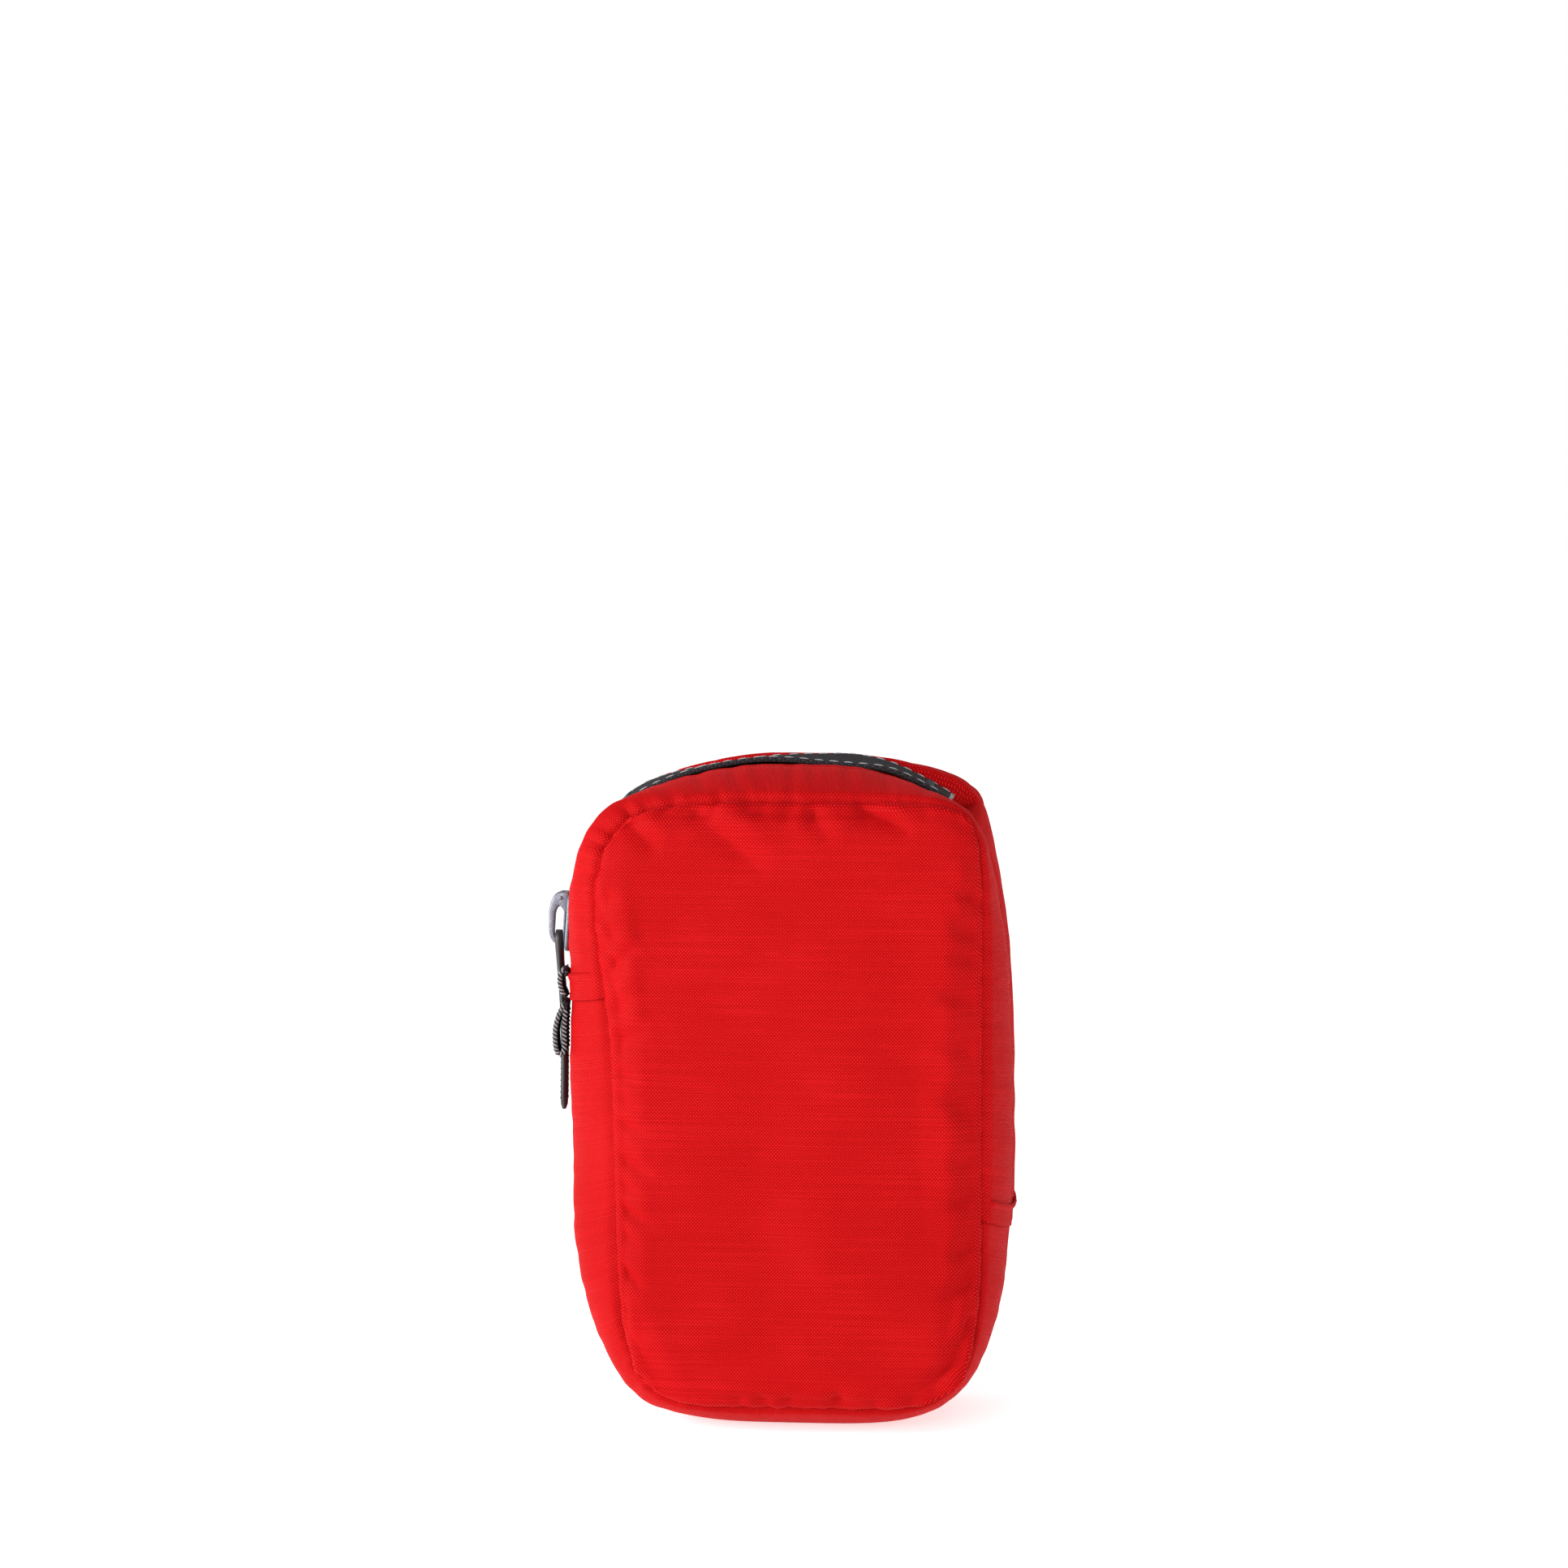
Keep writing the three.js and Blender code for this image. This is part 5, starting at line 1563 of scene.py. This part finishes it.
def add_tape_roll():
    centre = (29, 33)
    wound = [(radius, -5 + 0.16 * (k % 2) + 0.1 * math.sin(k * 1.7)) for k,
             radius in enumerate(np.linspace(13.1, 19.3, 26))]
    side = [(19.5, -4.5), (19.5, 19.5)]
    back = [(radius, 20 - 0.16 * (k % 2) - 0.1 * math.sin(k * 2.1)) for k,
            radius in enumerate(np.linspace(19.3, 13.1, 26))]
    obj = mesh_object("tape_roll_wound", *lathe(wound + side + back, centre), PLASTER)
    dress(obj, "tape_roll", "case")
    profile = [(11.4, -4.4), (11.6, -4.6), (12.6, -4.6), (12.8, -4.4), (12.8, 19.4), (12.6, 19.6),
               (11.6, 19.6), (11.4, 19.4)]
    core = mesh_object("tape_core_card", *lathe(profile, centre), CARD)
    dress(core, "tape_core", "case")
    angle = np.linspace(0.9, 1.35, 12)
    radius = 19.75 + 2.6 * ((angle - 0.9) / 0.45) ** 2
    path = np.stack([29 - radius * np.cos(angle), np.full(12, 7.5), 33 + radius * np.sin(angle)], -1) * MM
    path = path[path[:, 2] < 56 * MM]
    side_axis, out = ribbon_frames(path, (0, 1, 0))
    flap = swept("tape_free_end", path, side_axis, out, rounded_section(24 * MM, 0.3 * MM), PLASTER)
    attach(flap, "case")


def add_triangular_bandage():
    """Cotton triangle folded to a pad of five layers."""
    low, high = (np.array(corner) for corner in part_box("triangular_bandage"))
    layers = 5
    pitch = (high[1] - low[1]) / layers
    line = []
    for k in range(layers):
        y = low[1] + pitch * (k + 0.5)
        run = np.linspace(low[2] + pitch, high[2] - pitch, 26)
        run = run if k % 2 == 0 else run[::-1]
        line += [(y, z) for z in run]
        if k < layers - 1:
            end = run[-1]
            sign = 1 if k % 2 == 0 else -1
            for a in np.linspace(-60, 60, 5):
                line.append((y + pitch / 2 + pitch / 2 * math.sin(math.radians(a)),
                             end + sign * pitch * 0.7 * math.cos(math.radians(a))))
    line = np.array(line)
    middle = (low[0] + high[0]) / 2
    path = np.stack([np.full(len(line), middle), line[:, 0], line[:, 1]], -1)
    side_axis, out = ribbon_frames(path, (1, 0, 0))
    section = split_wide(rounded_section(high[0] - low[0] - 0.6 * MM, pitch * 0.86), 14)
    obj = swept("triangular_bandage_folded", path, side_axis, out, section, COTTON, ripple=0.05 * MM)
    dress(obj, "triangular_bandage", "case")


# -------------------------------------------------------------- card and its tools
def flat_place(a, level, b):
    return np.stack([a, level, b], -1) * MM


def rounded_rectangle(x0, z0, x1, z1, radius):
    loop = []
    for cx, cz, start in ((x1 - radius, z0 + radius, -90), (x1 - radius, z1 - radius, 0),
                          (x0 + radius, z1 - radius, 90), (x0 + radius, z0 + radius, 180)):
        for a in np.radians(np.linspace(start, start + 90, 9)):
            loop.append((cx + radius * math.cos(a), cz + radius * math.sin(a)))
    return np.array(loop)


def add_card():
    loop = dense(rounded_rectangle(-42, 18, 42, 146, 6), 2.0)
    points, faces = plate_mesh(loop, -8.4, -7.4, 0.3, flat_place)
    card = mesh_object("organiser_card_board", points, faces, LINING, points[:, [0, 2]])
    dress(card, "organiser_card", "case")
    path = np.stack([loop[:, 0], np.full(len(loop), -7.9), loop[:, 1]], -1) * MM
    out2d = radial(loop)
    out = np.stack([out2d[:, 0], np.zeros(len(loop)), out2d[:, 1]], -1)
    depth_axis, = rows(path, (0, 1, 0))
    trim = swept("organiser_card_binding", path - out * 1.8 * MM, depth_axis, out,
                 rounded_section(1.7 * MM, 4.2 * MM),
                 BINDING, closed=True, ripple=0.02 * MM)
    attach(trim, "case")
    for sign, word in ((-1, "front"), (1, "back")):
        stitches = tube_dashes(f"organiser_card_stitches_{word}",
                               path - out * 2.8 * MM + depth_axis * sign * 0.85 * MM,
                               depth_axis * sign, 2.4 * MM, 0.9 * MM, 0.16 * MM, PALE_THREAD)
        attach(stitches, "case")


def add_bridge(name, node):
    """Elastic loop sewn to the card over a tool."""
    low, high = (np.array(corner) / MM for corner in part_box(node))
    foot = -8.9
    front = low[1] + 0.45
    line = chain(
        bezier((low[0] - 2.6, foot), (low[0] - 0.4, foot), (low[0] + 0.4, foot), (low[0] + 0.4, foot - 1.6)),
        bezier((low[0] + 0.4, foot - 1.6), (low[0] + 0.5, front), (low[0] + 0.8, front),
               (low[0] + 2.5, front)),
        bezier((low[0] + 2.5, front), (high[0] - 2.5, front)),
        bezier((high[0] - 2.5, front), (high[0] - 0.8, front), (high[0] - 0.5, front),
               (high[0] - 0.4, foot - 1.6)),
        bezier((high[0] - 0.4, foot - 1.6), (high[0] - 0.4, foot), (high[0] + 0.4, foot),
               (high[0] + 2.6, foot)),
    )
    path = np.stack([line[:, 0], line[:, 1], np.full(len(line), (low[2] + high[2]) / 2)], -1) * MM
    side_axis, out = ribbon_frames(path, (0, 0, 1))
    obj = swept(name, path, side_axis, out, rounded_section((high[2] - low[2]) * MM, 0.7 * MM), ELASTIC,
                ripple=0.02 * MM)
    dress(obj, node, "case")


RIVET = np.array([8.0, 96.0])


def blade_loop(direction):
    def at(dx, dz):
        return RIVET[0] + direction * dx, RIVET[1] + dz
    return chain(
        bezier(at(-3.4, 4), at(-2.6, -8)),
        bezier(at(-2.6, -8), at(-0.4, -42)),
        bezier(at(-0.4, -42), at(0.4, -43.2), at(1.4, -43)),
        bezier(at(1.4, -43), at(4.6, -24), at(4.6, -6)),
        bezier(at(4.6, -6), at(3.4, 4)),
        bezier(at(3.4, 4), at(2, 14), at(-6.6, 19)),
        bezier(at(-6.6, 19), at(-9.8, 16.4)),
        bezier(at(-9.8, 16.4), at(-5, 11), at(-3.4, 4)),
    )[:-1]


def add_scissors():
    for word, direction, low, body in (("fixed", -1, -12.0, "case"), ("moving", 1, -13.7, "scissors_half")):
        loop = dense(blade_loop(direction), 0.8)
        blade = mesh_object(f"scissors_blade_{word}_steel",
                            *plate_mesh(loop, low, low + 1.4, 0.28, flat_place), STEEL)
        dress(blade, "scissors_blade_" + word, body)
        centre = RIVET + np.array([-direction * 11.4, 36])
        turn = np.linspace(0, 2 * math.pi, 90, endpoint=False)
        ellipses = [centre + np.stack([a * np.cos(turn), b * np.sin(turn)], -1) for a,
                    b in ((9.4, 13), (6.2, 9.6))]
        parts = [ring_mesh(*ellipses, centre, 2.15, lambda a, y, b: flat_place(a, y - 12.15, b), 90)]
        stem = rounded_rectangle(-3.2, -5.6, 3.2, 5.6, 2)
        tilt = -direction * math.radians(26)
        turned = np.stack([stem[:, 0] * math.cos(tilt) + stem[:, 1] * math.sin(tilt),
                           -stem[:, 0] * math.sin(tilt) + stem[:, 1] * math.cos(tilt)], -1)
        stem = dense(turned + RIVET + np.array([-direction * 8, 21.2]), 0.6)
        parts.append(plate_mesh(stem, -14.3, -10.0, 1.0, flat_place))
        grip = mesh_object(f"scissors_grip_{word}_moulded", *merge(parts), GRIP)
        dress(grip, "scissors_grip_" + word, body)
    profile = [(0.01, -14.9), (1.6, -14.85), (2.5, -14.6), (2.8, -14.3), (2.8, -14.0), (1.4, -13.9),
               (1.4, -10.3), (2.4, -10.2), (2.4, -9.8), (2.0, -9.6), (0.01, -9.6)]
    rivet = mesh_object("scissors_rivet_steel", *lathe(profile, RIVET, 32), STEEL)
    dress(rivet, "scissors_rivet", "case")
    add_bridge("scissors_elastic", "scissors_loop")


def add_tweezers():
    for word, direction, body in (("fixed", 1, "case"), ("moving", -1, "tweezers_half")):
        def at(dx, dz, d=direction):
            return 37 + d * dx, 92 + dz
        loop = chain(
            bezier(at(0.3, 0), at(1.3, 0), count=3),
            bezier(at(1.3, 0), at(7.4, 34), at(3.6, 62), count=40),
            bezier(at(3.6, 62), at(2.8, 62), count=3),
            bezier(at(2.8, 62), at(6.2, 34), at(0.3, 6), count=40),
            bezier(at(0.3, 6), at(0.3, 0), count=6),
        )[:-1]
        arm = mesh_object(f"tweezers_arm_{word}_steel",
                          *plate_mesh(dense(loop, 0.6), -14, -10.4, 0.12, flat_place), STEEL)
        dress(arm, "tweezers_arm_" + word, body)
    add_bridge("tweezers_elastic", "tweezers_loop")


# -------------------------------------------------------------- inside materials
def printed(name, base, band, low, high, rough=0.45, metallic=0.0, wrinkle=900.0):
    """Wrapper with one plain colour band between two heights, and fine creases."""
    n = Nodes(name)
    where = n.position()
    z = n.node("ShaderNodeSeparateXYZ", {"Vector": where}).outputs[2]
    inside = n.math("MULTIPLY", n.math("GREATER_THAN", z, low), n.math("LESS_THAN", z, high))
    worn = n.noise(180.0, where, 4.0)
    ink = n.math("MULTIPLY", inside, n.math("SUBTRACT", 1.0, n.math("MULTIPLY", worn, 0.3)))
    tone = n.mix(n.math("MULTIPLY", worn, 0.25), base, tuple(0.72 * c for c in base))
    creases = n.noise(wrinkle, where, 5.0, 0.65)
    n.bump(creases, 0.12 * MM, 0.6)
    return n.set(Base_Color=n.mix(ink, tone, band), Roughness=rough, Metallic=metallic)


FOAM = soft_plastic("grey_foam", (0.20, 0.20, 0.21), (0.34, 0.34, 0.35), 0.9, scale=2200.0)
BINDING = woven_tape("black_binding", (0.007, 0.007, 0.008), (0.04, 0.04, 0.045), 0.9 * MM, 0.45 * MM)
MESH = woven_tape("black_net", (0.01, 0.01, 0.011), (0.05, 0.05, 0.055), 0.4 * MM, 0.4 * MM)
STEEL = soft_plastic("brushed_steel", (0.42, 0.43, 0.45), (0.62, 0.63, 0.65), 0.3, 1.0, 1600.0)
GRIP = soft_plastic("red_grip_plastic", (0.36, 0.012, 0.014), (0.52, 0.02, 0.024), 0.42)
CARD = soft_plastic("core_cardboard", (0.36, 0.25, 0.15), (0.50, 0.37, 0.24), 0.9, scale=1500.0)
PLASTER = woven_tape("adhesive_tape", (0.50, 0.33, 0.22), (0.78, 0.60, 0.46), 0.35 * MM, 0.35 * MM)
GAUZE = woven_tape("gauze_weave", (0.52, 0.52, 0.49), (0.90, 0.90, 0.87), 0.9 * MM, 0.9 * MM)
CREPE = woven_tape("crepe_weave", (0.50, 0.38, 0.27), (0.80, 0.68, 0.54), 0.6 * MM, 1.1 * MM)
COTTON = woven_tape("cotton_cloth", (0.55, 0.55, 0.53), (0.88, 0.88, 0.85), 0.3 * MM, 0.3 * MM)
FOIL = printed("rescue_foil", (0.62, 0.60, 0.56), (0.66, 0.45, 0.12), 0.084, 0.112, 0.22, 1.0)
BLUE_FILM = printed("glove_film", (0.22, 0.36, 0.58), (0.62, 0.70, 0.80), 0.118, 0.132, 0.28)
PAPER = printed("dressing_paper", (0.80, 0.80, 0.77), (0.10, 0.26, 0.42), 0.124, 0.130, 0.75)
STACK_PAPER = printed("compress_paper", (0.80, 0.80, 0.77), (0.12, 0.36, 0.22), 0.070, 0.073, 0.75)
PLASTER_PAPER = printed("plaster_wrapper", (0.78, 0.76, 0.70), (0.55, 0.36, 0.22), 0.108, 0.122, 0.6)
WIPE_FOIL = printed("wipe_sachet_foil", (0.60, 0.63, 0.66), (0.08, 0.30, 0.48), 0.147, 0.153, 0.3, 0.6)
GEL_FOIL = printed("gel_sachet_foil", (0.70, 0.71, 0.70), (0.10, 0.42, 0.40), 0.120, 0.134, 0.3, 0.5)


def add_compress_stack():
    low, high = (np.array(corner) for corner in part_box("compress_small"))
    count = 5
    edges = np.linspace(low[1], high[1], count + 1)
    parts = []
    for k in range(count):
        turn = RNG.uniform(-0.5, 0.5, 2) * MM
        box = ((low[0] + 0.6 * MM + turn[0], edges[k] + 0.05 * MM, low[2] + 0.6 * MM + turn[1]),
               (high[0] - 0.6 * MM + turn[0], edges[k + 1] - 0.05 * MM, high[2] - 0.6 * MM + turn[1]))
        parts.append(packet_parts(box, 0.15 * MM, 1.2 * MM, 28, 20, False))
    points, faces = merge(parts)
    obj = mesh_object("compress_stack", points, faces, STACK_PAPER)
    dress(obj, "compress_small", "case")


def lid_low(x):
    return (87.75 * MM - 0.4958 * x) + 6.5 * MM


def back_low(_):
    return 83 * MM


def add_contents():
    add_padding(-1, "front")
    add_padding(1, "back")
    add_card()
    add_pocket(-1, "lid", "lid", lid_low, 147.5 * MM)
    add_pocket(1, "back", "case", back_low, 145.5 * MM)
    for name, node, material, slot, layers in (
        ("gauze_roll_wound", "gauze_roll", GAUZE, "gauze", 10),
        ("elastic_bandage_wound", "elastic_bandage", CREPE, "crepe", 8),
    ):
        centre = add_roll(name, node, material, layers)
        band = "gauze_roll_band" if node == "gauze_roll" else "bandage_band"
        add_band(band + "_elastic", band, centre)
    add_tape_roll()
    add_packet("rescue_blanket_foil", "rescue_blanket", "case", FOIL, 0.5 * MM, 3 * MM)
    add_triangular_bandage()
    add_packet("gloves_film_packet", "gloves_packet", "case", BLUE_FILM, 0.35 * MM, 3 * MM)
    add_packet("compress_paper_packet", "compress_large", "case", PAPER, 0.2 * MM, 4 * MM)
    add_packet("plaster_paper_packet", "plaster_packet", "lid", PLASTER_PAPER, 0.2 * MM, 3 * MM,
               trim=((2, 0, 5), (0, -0.6, 0)))
    add_packet("wipe_foil_sachet", "wipe_packet", "lid", WIPE_FOIL, 0.2 * MM, 2.5 * MM,
               trim=((0, 0, 0), (0, -0.4, 0)))
    add_packet("burn_gel_foil_sachet", "burn_gel_sachet", "lid", GEL_FOIL, 0.3 * MM, 3.5 * MM,
               trim=((3, 0, 5), (0, -0.8, -1)))
    add_compress_stack()
    add_scissors()
    add_tweezers()


add_contents()


# ------------------------------------------------------------- camera and stage
CAMERA_AZIMUTH = math.radians(5)
CAMERA_ELEVATION = math.radians(9.5)
CAMERA_DISTANCE = 1.15
FRAME_WIDTH = 425.6196 * MM  # what the picture spans at the pouch
AIM_ABOVE = 82.4 * MM
AIM_BESIDE = -2.6 * MM
SENSOR_WIDTH = 36  # in millimetres, as the lens is


def add_camera():
    azimuth, elevation = CAMERA_AZIMUTH, CAMERA_ELEVATION
    back = Vector((
        math.sin(azimuth) * math.cos(elevation),
        -math.cos(azimuth) * math.cos(elevation),
        math.sin(elevation),
    ))
    centre = Vector((0, 0, 90 * MM))
    place = centre + back * CAMERA_DISTANCE
    right = Vector((math.cos(azimuth), math.sin(azimuth), 0))
    up = right.cross(-back).normalized()
    target = centre + up * AIM_ABOVE + right * AIM_BESIDE
    camera = bpy.data.cameras.new("camera")
    camera.sensor_width = SENSOR_WIDTH
    camera.lens = SENSOR_WIDTH * CAMERA_DISTANCE / FRAME_WIDTH
    obj = bpy.data.objects.new("camera", camera)
    bpy.context.scene.collection.objects.link(obj)
    obj.location = place
    obj.rotation_mode = "QUATERNION"
    obj.rotation_quaternion = (target - place).to_track_quat("-Z", "Y")
    bpy.context.scene.camera = obj


def add_light(name, place, target, size, power, colour=(1, 1, 1)):
    light = bpy.data.lights.new(name, "AREA")
    light.shape = "RECTANGLE"
    light.size, light.size_y = size
    light.energy = power
    light.color = colour
    obj = bpy.data.objects.new(name, light)
    bpy.context.scene.collection.objects.link(obj)
    obj.location = place
    obj.rotation_mode = "QUATERNION"
    obj.rotation_quaternion = (Vector(target) - Vector(place)).to_track_quat("-Z", "Y")


AMBIENT = 0.5


def add_stage():
    n = Nodes("pale_floor")
    n.set(Base_Color=(0.9, 0.9, 0.9, 1), Roughness=0.9, Emission_Color=(1, 1, 1, 1), Emission_Strength=0.58)
    reach = 6.0
    points = [(-reach, -reach, 0), (reach, -reach, 0), (reach, reach, 0), (-reach, reach, 0)]
    floor = mesh_object("floor", np.array(points) - [0, 0, 0.05 * MM], [[0, 1, 2, 3]], n.material)
    world = bpy.data.worlds.new("studio")
    world.use_nodes = True
    tree = world.node_tree
    tree.nodes["Background"].inputs[0].default_value = (1, 1, 1, 1)
    ray = tree.nodes.new("ShaderNodeLightPath")
    strength = tree.nodes.new("ShaderNodeMath")
    strength.operation = "MULTIPLY_ADD"
    tree.links.new(ray.outputs["Is Camera Ray"], strength.inputs[0])
    strength.inputs[1].default_value = 1.0 - AMBIENT
    strength.inputs[2].default_value = AMBIENT
    tree.links.new(strength.outputs[0], tree.nodes["Background"].inputs[1])
    bpy.context.scene.world = world
    middle = (0, 0, 0.09)
    add_light("key", (-1.3, -0.55, 0.40), middle, (0.4, 0.7), 24)
    add_light("fill", (1.25, -0.6, 0.30), middle, (0.4, 0.9), 8)
    add_light("front", (-0.45, -1.6, 0.55), middle, (0.5, 0.5), 10)
    bpy.context.scene.view_settings.view_transform = "Standard"


add_camera()
add_stage()
